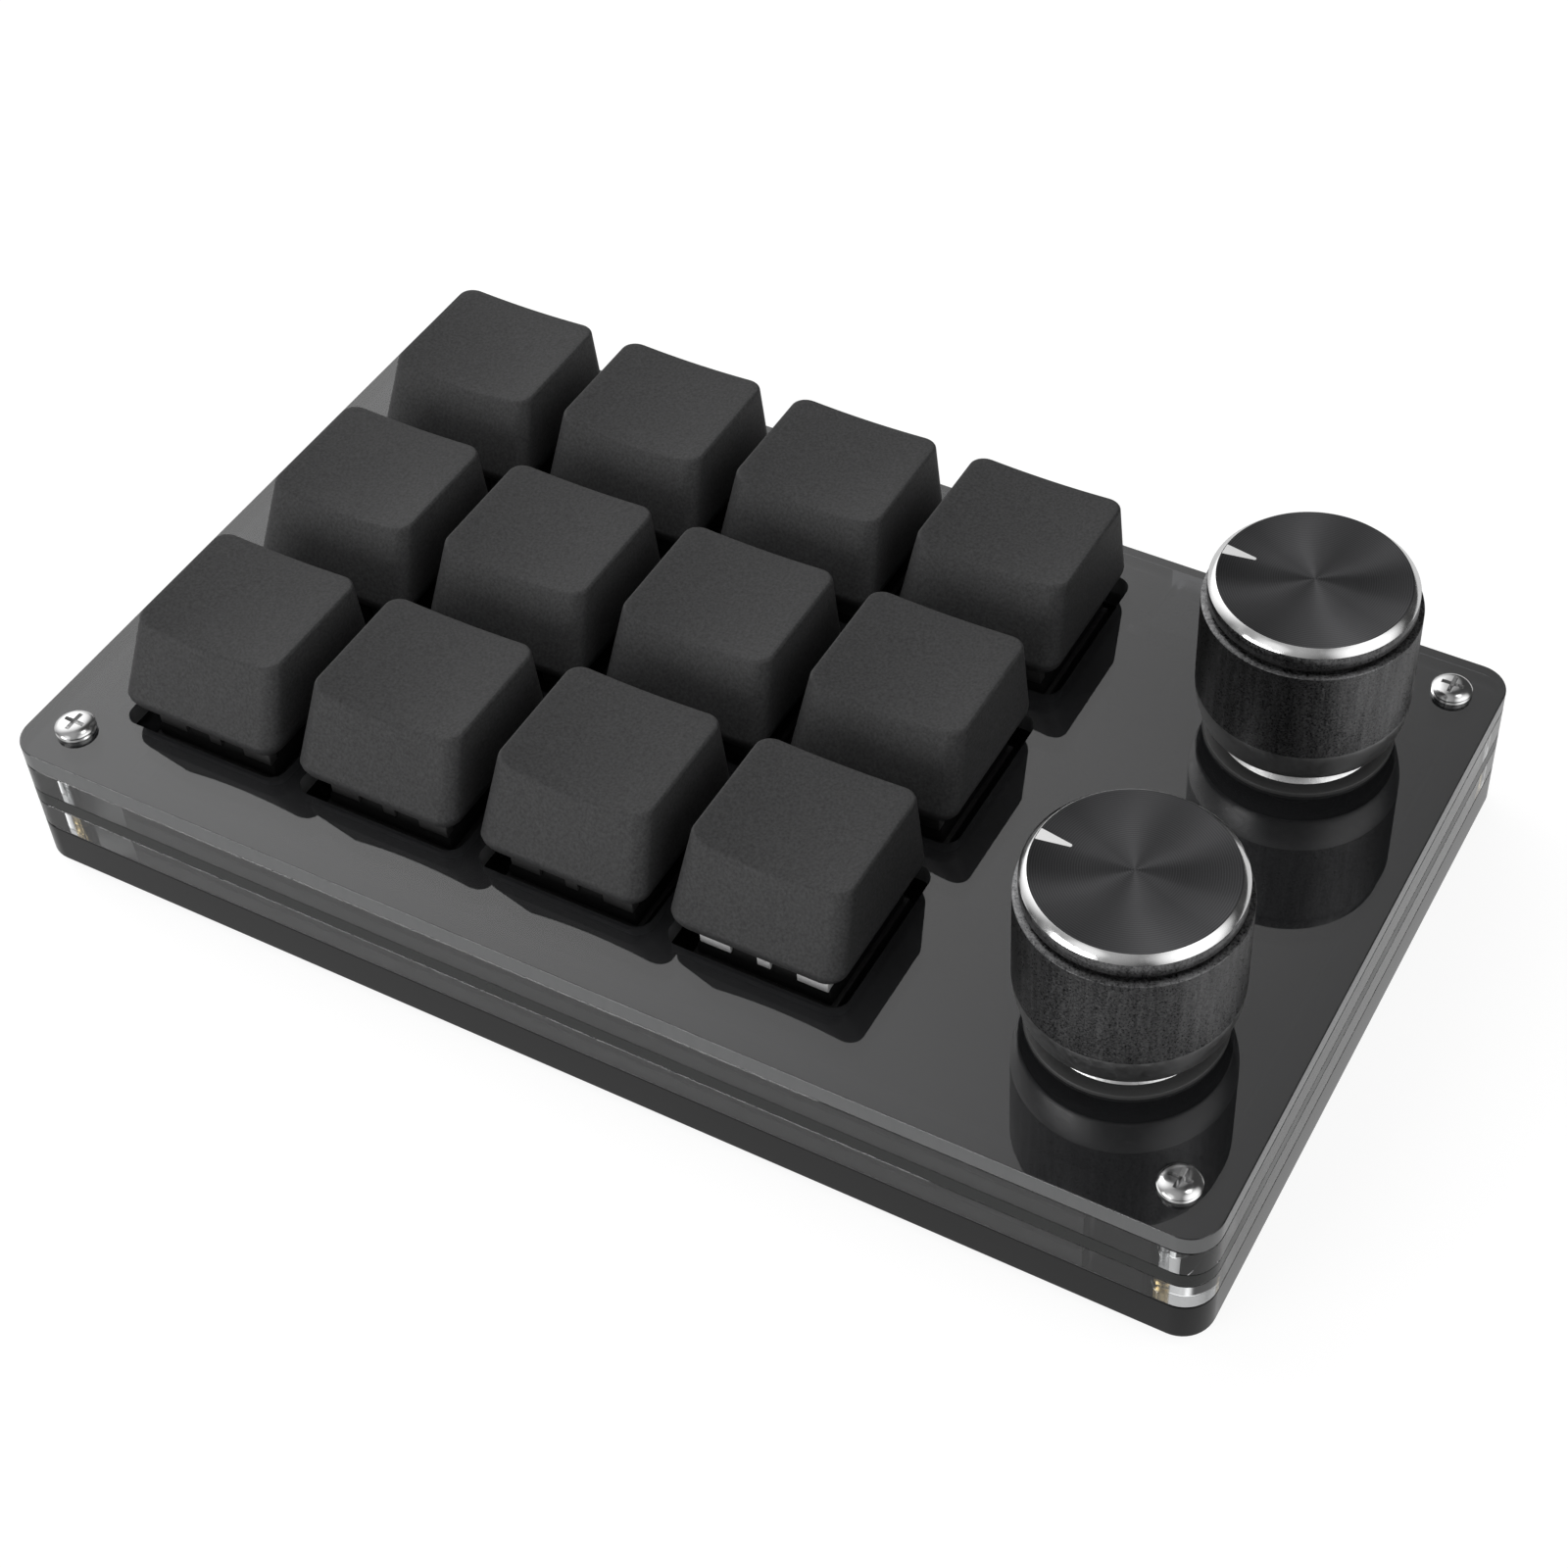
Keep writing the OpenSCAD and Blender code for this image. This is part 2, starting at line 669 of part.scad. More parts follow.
// Side view of a knob's shell, from its bottom edge up its outside and down its bore
function shell_outline() = [
    [shell_bore_r, knob_z], [knob_foot_r, knob_z], [knob_r, knob_z + taper_h], [knob_r, knurl_top],
    [rim_r - groove_d, knurl_top], [rim_r - groove_d, groove_top], [rim_r, groove_top],
    [rim_r, knob_top - bevel], [rim_r - bevel, knob_top], [0, knob_top], [0, roof_z], [shell_bore_r, roof_z]];

module knob_shell(k) {
    mark_depth = 0.12;
    mark_len = 2.4;
    mark_margin = 0.7;
    mark_tip = 0.12;
    mark_half = 0.75;
    mark_outer = rim_r - bevel - mark_margin;
    mark_inner = mark_outer - mark_len;
    color("#4a4b4e") translate([KNOB_PLACES[k][0], KNOB_PLACES[k][1], 0]) difference() {
        rotate_extrude($fn = 96) polygon(shell_outline());
        translate([0, 0, knob_top - mark_depth]) linear_extrude(1) {
            polygon([[-mark_inner, -mark_tip], [-mark_inner, mark_tip],
                [-mark_outer, mark_half], [-mark_outer, -mark_half]]);
        }
    }
}

module knob_insert(k) {
    wall = 0.4;
    color("#151515") translate([KNOB_PLACES[k][0], KNOB_PLACES[k][1], 0]) difference() {
        union() {
            translate([0, 0, knob_z + press_gap]) difference() {
                cylinder(h = hub_top - knob_z - press_gap, r = shell_bore_r - seat_gap);
                translate([0, 0, -1]) cylinder(h = hub_top - knob_z + 2, r = shell_bore_r - wall);
            }
            translate([0, 0, web_z]) cylinder(h = web_t, r = shell_bore_r - wall / 2);
            translate([0, 0, hub_z]) cylinder(h = hub_top - hub_z, r = hub_r);
        }
        translate([0, 0, hub_z - 1]) difference() {
            cylinder(h = hub_top - hub_z + 2, r = shaft_r + seat_gap);
            translate([flat_x + seat_gap, -shaft_r - 1, flat_rise + 1]) {
                cube([shaft_r, 2 * shaft_r + 2, hub_top]);
            }
        }
    }
}

bottom_plate();
lower_frame();
circuit_board();
upper_frame();
top_plate();
corner_screws();
brass_inserts();
rubber_feet();
usb_socket();
controller_chip();
switch_bases();
switch_covers();
switch_contacts();
trim_rings();
for (i = [1:KEYS]) {
    keycap(i - 1);
    key_stem(i - 1);
    key_spring(i - 1);
}
for (k = [0, 1]) {
    encoder_body(k);
    encoder_plunger(k);
    encoder_shaft(k);
    knob_shell(k);
    knob_insert(k);
}
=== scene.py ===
import math

import bmesh
import bpy
from mathutils import Matrix, Vector


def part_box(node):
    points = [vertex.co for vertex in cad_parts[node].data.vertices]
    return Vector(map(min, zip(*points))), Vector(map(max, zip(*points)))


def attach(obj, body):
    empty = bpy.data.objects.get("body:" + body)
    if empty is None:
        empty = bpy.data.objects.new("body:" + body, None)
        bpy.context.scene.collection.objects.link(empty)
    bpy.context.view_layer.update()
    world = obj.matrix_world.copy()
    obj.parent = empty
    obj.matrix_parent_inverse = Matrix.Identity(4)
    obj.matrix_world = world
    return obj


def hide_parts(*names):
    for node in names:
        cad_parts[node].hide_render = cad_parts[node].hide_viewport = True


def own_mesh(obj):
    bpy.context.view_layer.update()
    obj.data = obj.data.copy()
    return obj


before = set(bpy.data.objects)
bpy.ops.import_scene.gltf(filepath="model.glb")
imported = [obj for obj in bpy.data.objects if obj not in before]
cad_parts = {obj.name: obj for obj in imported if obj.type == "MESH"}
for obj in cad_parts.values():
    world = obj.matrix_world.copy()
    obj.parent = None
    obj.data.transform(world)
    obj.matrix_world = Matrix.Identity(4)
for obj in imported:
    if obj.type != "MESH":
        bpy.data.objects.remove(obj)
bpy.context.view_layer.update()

mm = 0.001
keyNumbers = range(1, 13)
knobSides = ("back", "front")
tau = 2 * math.pi


# small helpers

def midPlan(node):
    low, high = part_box(node)
    return Vector(((low.x + high.x) / 2, (low.y + high.y) / 2, 0))


def finishMesh(bm, name, sharpAngle=35):
    mesh = bpy.data.meshes.new(name)
    bm.to_mesh(mesh)
    bm.free()
    mesh.polygons.foreach_set("use_smooth", [True] * len(mesh.polygons))
    mesh.set_sharp_from_angle(angle=math.radians(sharpAngle))
    return mesh


def addPiece(name, mesh, body, materials, replaced=(), evenFaces=False):
    piece = bpy.data.objects.new(name, mesh)
    bpy.context.scene.collection.objects.link(piece)
    for material in materials:
        mesh.materials.append(material)
    if evenFaces:
        # keeps wide flat faces flat beside their rounded edges
        weights = piece.modifiers.new("evenFaces", "WEIGHTED_NORMAL")
        weights.mode = "FACE_AREA"
        weights.weight = 90
        weights.keep_sharp = True
    if replaced:
        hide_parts(*replaced)
    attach(piece, body)
    return piece


def dressNode(node, material):
    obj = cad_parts[node]
    obj.data.materials.clear()
    obj.data.materials.append(material)


def mergedCopy(node):
    bm = bmesh.new()
    bm.from_mesh(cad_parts[node].data)
    bmesh.ops.remove_doubles(bm, verts=bm.verts, dist=0.002 * mm)
    bmesh.ops.dissolve_limit(bm, angle_limit=math.radians(1), verts=bm.verts, edges=bm.edges)
    return bm


def roundEdges(bm, width, segments, wanted=None):
    # only edges that turn by more than 40 degrees
    limit = math.radians(40)
    edges = [e for e in bm.edges if len(e.link_faces) == 2 and e.calc_face_angle() > limit]
    if wanted:
        edges = [e for e in edges if wanted(e)]
    bmesh.ops.bevel(bm, geom=edges, offset=width, offset_type="OFFSET", segments=segments, profile=0.5,
                    affect="EDGES", clamp_overlap=False, material=-1)


def addBox(bm, low, high, rounding=0):
    made = bmesh.ops.create_cube(bm, size=1)["verts"]
    low, high = Vector(low), Vector(high)
    size = high - low
    bmesh.ops.scale(bm, vec=size, verts=made)
    bmesh.ops.translate(bm, vec=(low + high) / 2, verts=made)
    if rounding:
        edges = {e for v in made for e in v.link_edges}
        bmesh.ops.bevel(bm, geom=list(edges), offset=rounding, offset_type="OFFSET", segments=2,
                        profile=0.5, affect="EDGES", clamp_overlap=True, material=-1)


def spinOutline(bm, outline, steps, centre=(0, 0, 0), closed=True):
    # outline is a list of radius and height, turned a full circle about an upright line
    start = [bm.verts.new((r, 0, z)) for r, z in outline]
    edges = [bm.edges.new(pair) for pair in zip(start, start[1:])]
    if closed:
        edges.append(bm.edges.new((start[-1], start[0])))
    bmesh.ops.spin(bm, geom=start + edges, cent=(0, 0, 0), axis=(0, 0, 1), angle=tau, steps=steps,
                   use_merge=True, use_duplicate=False)
    bmesh.ops.remove_doubles(bm, verts=bm.verts, dist=0.0005 * mm)
    bmesh.ops.recalc_face_normals(bm, faces=bm.faces)
    bmesh.ops.translate(bm, vec=centre, verts=bm.verts)


# materials

def newMaterial(name, color, roughness, metallic=0, **sockets):
    material = bpy.data.materials.new(name)
    material.use_nodes = True
    shader = material.node_tree.nodes["Principled BSDF"]
    shader.inputs["Base Color"].default_value = (*color, 1)
    shader.inputs["Roughness"].default_value = roughness
    shader.inputs["Metallic"].default_value = metallic
    for socket, value in sockets.items():
        shader.inputs[socket.replace("_", " ")].default_value = value
    return material


def addNode(material, kind, **settings):
    node = material.node_tree.nodes.new(kind)
    for setting, value in settings.items():
        setattr(node, setting, value)
    return node


def joinSockets(material, source, target):
    material.node_tree.links.new(source, target)


def objectPoint(material, stretch=(1, 1, 1), centre=(0, 0, 0)):
    coordinates = addNode(material, "ShaderNodeTexCoord")
    mapping = addNode(material, "ShaderNodeMapping")
    mapping.inputs["Scale"].default_value = stretch
    mapping.inputs["Location"].default_value = [-c * s for c, s in zip(centre, stretch)]
    joinSockets(material, coordinates.outputs["Object"], mapping.inputs["Vector"])
    return mapping.outputs["Vector"]


def noiseOn(material, point, scale, detail=3, roughness=0.55):
    noise = addNode(material, "ShaderNodeTexNoise")
    noise.inputs["Scale"].default_value = scale
    noise.inputs["Detail"].default_value = detail
    noise.inputs["Roughness"].default_value = roughness
    joinSockets(material, point, noise.inputs["Vector"])
    return noise.outputs["Fac"]


def spread(material, source, fromLow, fromHigh, toLow, toHigh):
    ranger = addNode(material, "ShaderNodeMapRange")
    ends = {"From Min": fromLow, "From Max": fromHigh, "To Min": toLow, "To Max": toHigh}
    for socket, value in ends.items():
        ranger.inputs[socket].default_value = value
    joinSockets(material, source, ranger.inputs["Value"])
    return ranger.outputs["Result"]


def tintBy(material, source, dark, light):
    mixer = addNode(material, "ShaderNodeMix", data_type="RGBA")
    # the colour sockets of a Mix node come after its number and vector sockets
    mixer.inputs[6].default_value = (*dark, 1)
    mixer.inputs[7].default_value = (*light, 1)
    joinSockets(material, source, mixer.inputs[0])
    shader = material.node_tree.nodes["Principled BSDF"]
    joinSockets(material, mixer.outputs[2], shader.inputs["Base Color"])


def roughenBy(material, source, low, high):
    # a noise stays mostly between 0.3 and 0.7, so that part is spread over low to high
    shader = material.node_tree.nodes["Principled BSDF"]
    joinSockets(material, spread(material, source, 0.3, 0.7, low, high), shader.inputs["Roughness"])


def bumpBy(material, source, distance, strength):
    bump = addNode(material, "ShaderNodeBump")
    bump.inputs["Distance"].default_value = distance
    bump.inputs["Strength"].default_value = strength
    joinSockets(material, source, bump.inputs["Height"])
    shader = material.node_tree.nodes["Principled BSDF"]
    joinSockets(material, bump.outputs["Normal"], shader.inputs["Normal"])


def capPlastic():
    look = {"dark": (0.023, 0.023, 0.0235), "light": (0.053, 0.053, 0.054), "grain": 3900, "wear": 60,
            "depth": 0.02 * mm}
    material = newMaterial("capPlastic", look["light"], 0.62, Specular_IOR_Level=0.35)
    point = objectPoint(material)
    grain = noiseOn(material, point, look["grain"], 4, 0.6)
    wear = noiseOn(material, point, look["wear"], 2)
    tintBy(material, spread(material, grain, 0.3, 0.7, 0, 1), look["dark"], look["light"])
    roughenBy(material, wear, 0.6, 0.66)
    bumpBy(material, grain, look["depth"], 0.9)
    return material


def mouldedPlastic(name, color, roughness, grain=2500):
    material = newMaterial(name, color, roughness)
    speck = noiseOn(material, objectPoint(material), grain, 3)
    tintBy(material, speck, [c * 0.82 for c in color], [min(1, c * 1.18) for c in color])
    roughenBy(material, speck, roughness - 0.05, roughness + 0.07)
    bumpBy(material, speck, 0.006 * mm, 0.8)
    return material


def clearAcrylic():
    look = {"tint": (0.76, 0.77, 0.775), "wipe": 60}
    material = newMaterial("clearAcrylic", look["tint"], 0.01, Transmission_Weight=1.0, IOR=1.49)
    wipe = noiseOn(material, objectPoint(material), look["wipe"], 4)
    tintBy(material, wipe, [c * 0.96 for c in look["tint"]], look["tint"])
    roughenBy(material, wipe, 0.0, 0.02)
    return material


def smokySheet():
    look = {"tint": (0.1, 0.102, 0.108), "haze": 45, "wave": 18}
    material = newMaterial("smokySheet", look["tint"], 0.02, Transmission_Weight=0.85, IOR=1.49,
                           Coat_Weight=1.0, Coat_Roughness=0.02, Coat_IOR=1.5)
    point = objectPoint(material)
    haze = noiseOn(material, point, look["haze"], 4)
    tintBy(material, haze, [c * 0.9 for c in look["tint"]], look["tint"])
    roughenBy(material, haze, 0.012, 0.035)
    bumpBy(material, noiseOn(material, point, look["wave"], 1), 0.008 * mm, 0.3)
    return material


def paintedShadeSawnEdge():
    # the walls of the frames' openings, rough from the saw; their dark tint is painted shade, and it keeps
    # light from running through them
    look = {"tint": (0.05, 0.05, 0.051), "saw": 900}
    material = newMaterial("paintedShadeSawnEdge", look["tint"], 0.35, Transmission_Weight=0.2, IOR=1.4)
    saw = noiseOn(material, objectPoint(material, stretch=(1, 1, 0.1)), look["saw"], 3)
    tintBy(material, saw, [c * 0.7 for c in look["tint"]], [c * 1.3 for c in look["tint"]])
    roughenBy(material, saw, 0.3, 0.42)
    return material


def polishedEdge():
    look = {"tint": (0.15, 0.152, 0.154), "saw": 900}
    material = newMaterial("polishedEdge", look["tint"], 0.1, Transmission_Weight=0.1, IOR=1.4)
    saw = noiseOn(material, objectPoint(material, stretch=(1, 1, 0.15)), look["saw"], 3)
    tintBy(material, saw, [c * 0.85 for c in look["tint"]], look["tint"])
    roughenBy(material, saw, 0.08, 0.14)
    return material


def blackAcrylic():
    look = {"color": (0.003, 0.003, 0.0032), "wipe": 70}
    material = newMaterial("blackAcrylic", look["color"], 0.06, IOR=1.34)
    wipe = noiseOn(material, objectPoint(material), look["wipe"], 4)
    tintBy(material, wipe, [c * 0.8 for c in look["color"]], look["color"])
    roughenBy(material, wipe, 0.04, 0.1)
    return material


def solderMask():
    look = {"color": (0.007, 0.008, 0.0075), "pale": (0.012, 0.0135, 0.0125), "weave": 2600, "flow": 150}
    material = newMaterial("solderMask", look["color"], 0.24, IOR=1.36)
    point = objectPoint(material)
    weave = noiseOn(material, point, look["weave"], 2)
    tintBy(material, weave, look["color"], look["pale"])
    roughenBy(material, noiseOn(material, point, look["flow"], 3), 0.2, 0.3)
    bumpBy(material, weave, 0.002 * mm, 0.4)
    return material


def brightSteel(name, color, roughness, scratch=900, depth=0.002 * mm):
    material = newMaterial(name, color, roughness, 1.0)
    wear = noiseOn(material, objectPoint(material), scratch, 3)
    tintBy(material, wear, [c * 0.86 for c in color], color)
    roughenBy(material, wear, roughness - 0.05, roughness + 0.1)
    bumpBy(material, wear, depth, 0.5)
    return material


def spunDisc(name, centre):
    # rings turned about the knob's own axis, so the light gathers in fans
    look = {"dark": (0.07, 0.07, 0.0725), "light": (0.1, 0.1, 0.1035), "ring": 0.21 * mm,
            "depth": 0.0025 * mm}
    material = newMaterial(name, look["light"], 0.42, 1.0, Anisotropic=1.0)
    point = objectPoint(material, centre=centre)
    flat = addNode(material, "ShaderNodeVectorMath", operation="MULTIPLY")
    flat.inputs[1].default_value = (1, 1, 0)
    joinSockets(material, point, flat.inputs[0])
    length = addNode(material, "ShaderNodeVectorMath", operation="LENGTH")
    joinSockets(material, flat.outputs["Vector"], length.inputs[0])
    turns = addNode(material, "ShaderNodeMath", operation="MULTIPLY")
    turns.inputs[1].default_value = tau / look["ring"]
    joinSockets(material, length.outputs["Value"], turns.inputs[0])
    wave = addNode(material, "ShaderNodeMath", operation="SINE")
    joinSockets(material, turns.outputs[0], wave.inputs[0])
    height = spread(material, wave.outputs[0], -1, 1, 0, 1)
    tintBy(material, height, look["dark"], look["light"])
    bumpBy(material, height, look["depth"], 0.8)
    tangent = addNode(material, "ShaderNodeTangent", direction_type="RADIAL", axis="Z")
    shader = material.node_tree.nodes["Principled BSDF"]
    joinSockets(material, tangent.outputs["Tangent"], shader.inputs["Tangent"])
    return material


def knurledMetal():
    # fine specks over upright streaks
    look = {"dark": (0.035, 0.035, 0.036), "light": (0.23, 0.23, 0.233), "streak": 1700, "speck": 5200,
            "speckShare": 0.72, "streakShare": 0.28}
    material = newMaterial("knurledMetal", look["light"], 0.38, 1.0)
    streaks = noiseOn(material, objectPoint(material, stretch=(1, 1, 0.08)), look["streak"], 3)
    specks = noiseOn(material, objectPoint(material), look["speck"], 3, 0.7)
    both = addNode(material, "ShaderNodeMath", operation="MULTIPLY_ADD")
    both.inputs[1].default_value = look["speckShare"]
    joinSockets(material, specks, both.inputs[0])
    lesser = addNode(material, "ShaderNodeMath", operation="MULTIPLY")
    lesser.inputs[1].default_value = look["streakShare"]
    joinSockets(material, streaks, lesser.inputs[0])
    joinSockets(material, lesser.outputs[0], both.inputs[2])
    tintBy(material, spread(material, both.outputs[0], 0.35, 0.65, 0, 1), look["dark"], look["light"])
    roughenBy(material, specks, 0.22, 0.5)
    bumpBy(material, both.outputs[0], 0.012 * mm, 0.8)
    return material


print("stage: materials")
capMaterial = capPlastic()
clearMaterial = clearAcrylic()
paintedShadeSawnMaterial = paintedShadeSawnEdge()
smokyMaterial = smokySheet()
edgeMaterial = polishedEdge()
blackMaterial = blackAcrylic()
boardMaterial = solderMask()
screwMaterial = brightSteel("screwSteel", (0.8, 0.8, 0.8), 0.12)
rimMaterial = brightSteel("rimSteel", (0.9, 0.9, 0.9), 0.12)
trimMaterial = mouldedPlastic("trimSatin", (0.055, 0.055, 0.055), 0.5, 3000)
collarMaterial = brightSteel("collarMetal", (0.85, 0.85, 0.85), 0.3, 2900, 0.03 * mm)
taperMaterial = brightSteel("taperMetal", (0.36, 0.36, 0.362), 0.36, 1800)
socketMaterial = brightSteel("socketSteel", (0.6, 0.6, 0.61), 0.25)
springMaterial = brightSteel("springWire", (0.6, 0.6, 0.62), 0.2)
shaftMaterial = brightSteel("shaftMetal", (0.5, 0.5, 0.51), 0.3)
brassMaterial = brightSteel("insertBrass", (0.78, 0.6, 0.3), 0.22)
contactMaterial = brightSteel("contactLeaf", (0.75, 0.55, 0.25), 0.25)
knurlMaterial = knurledMetal()
switchMaterial = mouldedPlastic("switchPlastic", (0.004, 0.004, 0.0042), 0.6)
lugMaterial = mouldedPlastic("greyLugs", (0.05, 0.05, 0.05), 0.5)
# a pale copy of the lug plastic: painted light, the look of lamplight falling on one key's lugs
paintedLightLugMaterial = mouldedPlastic("paintedLightLugs", (0.85, 0.85, 0.85), 0.4)
stemMaterial = mouldedPlastic("stemPlastic", (0.06, 0.06, 0.065), 0.45)
insertMaterial = mouldedPlastic("knobPlastic", (0.01, 0.01, 0.01), 0.6)
chipMaterial = mouldedPlastic("chipPlastic", (0.015, 0.015, 0.016), 0.5)
rubberMaterial = mouldedPlastic("footRubber", (0.018, 0.018, 0.018), 0.8)
encoderMaterial = brightSteel("encoderMetal", (0.12, 0.12, 0.125), 0.4)


# case: the stacked sheets

caseLow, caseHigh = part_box("top_plate")
screwLow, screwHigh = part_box("corner_screws")
screwInset = 2 * mm  # half the width of a screw's head in the CAD part
screwPlaces = [Vector((x, y)) for x in (screwLow.x + screwInset, screwHigh.x - screwInset)
               for y in (screwLow.y + screwInset, screwHigh.y - screwInset)]
caseEdges = {"sheet": 0.12 * mm, "frame": 0.08 * mm, "thick": 0.25 * mm, "air": 0.01 * mm,
             "outerBand": 1 * mm, "holeRoom": 2.2 * mm}


def nearOutside(place):
    gaps = (place.x - caseLow.x, caseHigh.x - place.x, place.y - caseLow.y, caseHigh.y - place.y)
    return min(gaps) < caseEdges["outerBand"]


def onOutside(edge):
    return all(nearOutside(v.co) for v in edge.verts)


def inCavity(face):
    # away from the outside and from the screws' holes
    middle = face.calc_center_median()
    if nearOutside(middle):
        return False
    return min((middle.xy - place).length for place in screwPlaces) > caseEdges["holeRoom"]


def sheetPiece(name, node, materials, edge, lift=0.0, drop=0.0,
               sideIndex=0, innerIndex=0, segments=3):
    # lift and drop move the sheet's underside up and its top down, so that no two sheets share a face
    bm = mergedCopy(node)
    low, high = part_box(node)
    middle = (low.z + high.z) / 2
    roundEdges(bm, edge, segments, wanted=onOutside)
    for v in bm.verts:
        v.co.z += lift if v.co.z < middle else -drop
    for face in bm.faces:
        face.normal_update()
        if abs(face.normal.z) < 0.3:  # faces that stand upright
            face.material_index = innerIndex if innerIndex and inCavity(face) else sideIndex
    addPiece(name, finishMesh(bm, name), "case", materials, [node], segments > 1)


print("stage: case")
air = caseEdges["air"]
sheetPiece("topSheet", "top_plate", [smokyMaterial, edgeMaterial], caseEdges["sheet"],
           lift=air, sideIndex=1)
# the spacers' walls inside the cavity take the sawn edge's painted shade
sheetPiece("upperSpacer", "upper_frame", [clearMaterial, paintedShadeSawnMaterial], caseEdges["frame"],
           lift=air, drop=air, innerIndex=1, segments=1)
sheetPiece("mainBoard", "circuit_board", [boardMaterial], caseEdges["sheet"] / 2)
sheetPiece("lowerSpacer", "lower_frame", [clearMaterial, paintedShadeSawnMaterial], caseEdges["frame"],
           lift=air, drop=air, innerIndex=1, segments=1)
sheetPiece("baseSheet", "bottom_plate", [blackMaterial], caseEdges["thick"])


# corner screws with cut threads, and the brass inserts they turn in

screwCut = {"pitch": 0.4 * mm, "depth": 0.16 * mm, "radius": 1.0 * mm, "head": 1.85 * mm, "steps": 20,
            "crown": 0.5 * mm, "roundness": 4, "sink": 0.3 * mm, "overlap": 0.3 * mm,
            "waist": 0.14 * mm, "waistHeights": (0.4 * mm, 0.3 * mm, 0.15 * mm),
            "crossLength": 2.1 * mm, "crossWidth": 0.42 * mm, "crossDepth": 0.75 * mm}


def threadMesh(low, high):
    # one shank on the upright axis, its thread a helix
    radius, pitch, steps = screwCut["radius"], screwCut["pitch"], screwCut["steps"]
    turns = int((high - low) / pitch) - 1
    root = radius - screwCut["depth"]
    heights = (0, 0.18, 0.5, 0.68, 1)  # shares of one turn's rise
    radii = (root, root, radius, radius, root)
    bm = bmesh.new()
    start = [bm.verts.new((r, 0, low + h * pitch)) for r, h in zip(radii, heights)]
    edges = [bm.edges.new(pair) for pair in zip(start, start[1:])]
    bmesh.ops.spin(bm, geom=start + edges, cent=(0, 0, 0), axis=(0, 0, 1), angle=tau * turns,
                   steps=steps * turns, dvec=(0, 0, pitch / steps), use_duplicate=False)
    bmesh.ops.remove_doubles(bm, verts=bm.verts, dist=0.0005 * mm)
    bmesh.ops.recalc_face_normals(bm, faces=bm.faces)
    thread = bpy.data.meshes.new("thread")
    bm.to_mesh(thread)
    bm.free()
    return thread


def headMesh(height):
    # flat-topped head on a thin collar, with a rounded rim and a cross recess, foot at zero
    c = screwCut
    radius, side = c["head"], height - c["crown"]
    waist = radius - c["waist"]
    foot, low, high = [side - drop for drop in c["waistHeights"]]
    outline = [(0, 0), (radius, 0), (radius, foot), (waist, low), (waist, high), (radius, side)]
    for i in range(1, 10):
        share = math.cos(i / 9 * math.pi / 2) ** 0.5
        outline.append((radius * share, side + c["crown"] * (1 - share ** c["roundness"])))
    bm = bmesh.new()
    spinOutline(bm, outline, 64, closed=False)
    head = bpy.data.objects.new("head", bpy.data.meshes.new("head"))
    bm.to_mesh(head.data)
    bm.free()
    cutter = bpy.data.objects.new("cutter", bpy.data.meshes.new("cutter"))
    floor = height - c["crossDepth"]
    for length, width in ((c["crossLength"], c["crossWidth"]), (c["crossWidth"], c["crossLength"])):
        bm = bmesh.new()
        bm.from_mesh(cutter.data)
        addBox(bm, (-length / 2, -width / 2, floor), (length / 2, width / 2, height + 1 * mm))
        bm.to_mesh(cutter.data)
        bm.free()
    scene = bpy.context.scene
    for obj in (head, cutter):
        scene.collection.objects.link(obj)
    cut = head.modifiers.new("recess", "BOOLEAN")
    cut.object = cutter
    cut.operation = "DIFFERENCE"
    cut.solver = "EXACT"
    cut.use_self = True
    bpy.context.view_layer.update()
    done = bpy.data.meshes.new_from_object(head.evaluated_get(bpy.context.evaluated_depsgraph_get()))
    for obj in (head, cutter):
        mesh = obj.data
        bpy.data.objects.remove(obj)
        bpy.data.meshes.remove(mesh)
    return done


def screwPiece():
    deck = caseHigh.z
    head = headMesh(screwHigh.z - deck - screwCut["sink"])
    head.transform(Matrix.Translation((0, 0, deck)))
    thread = threadMesh(screwLow.z, deck + screwCut["overlap"])  # its end is hidden in the head
    bm = bmesh.new()
    last = Vector((0, 0, 0))
    for place in screwPlaces:
        step = place.to_3d() - last
        last += step
        for part in (head, thread):
            part.transform(Matrix.Translation(step))
            bm.from_mesh(part)
    for part in (head, thread):
        bpy.data.meshes.remove(part)
    addPiece("caseScrews", finishMesh(bm, "caseScrews", 40), "case", [screwMaterial],
             ["corner_screws"])


insertCut = {"ribs": 26, "ribDepth": 0.09 * mm, "bore": 1.02 * mm, "radius": 1.6 * mm,
             "chamfer": 0.1 * mm, "grooveDepth": 0.2 * mm, "grooveSlope": 0.15 * mm}


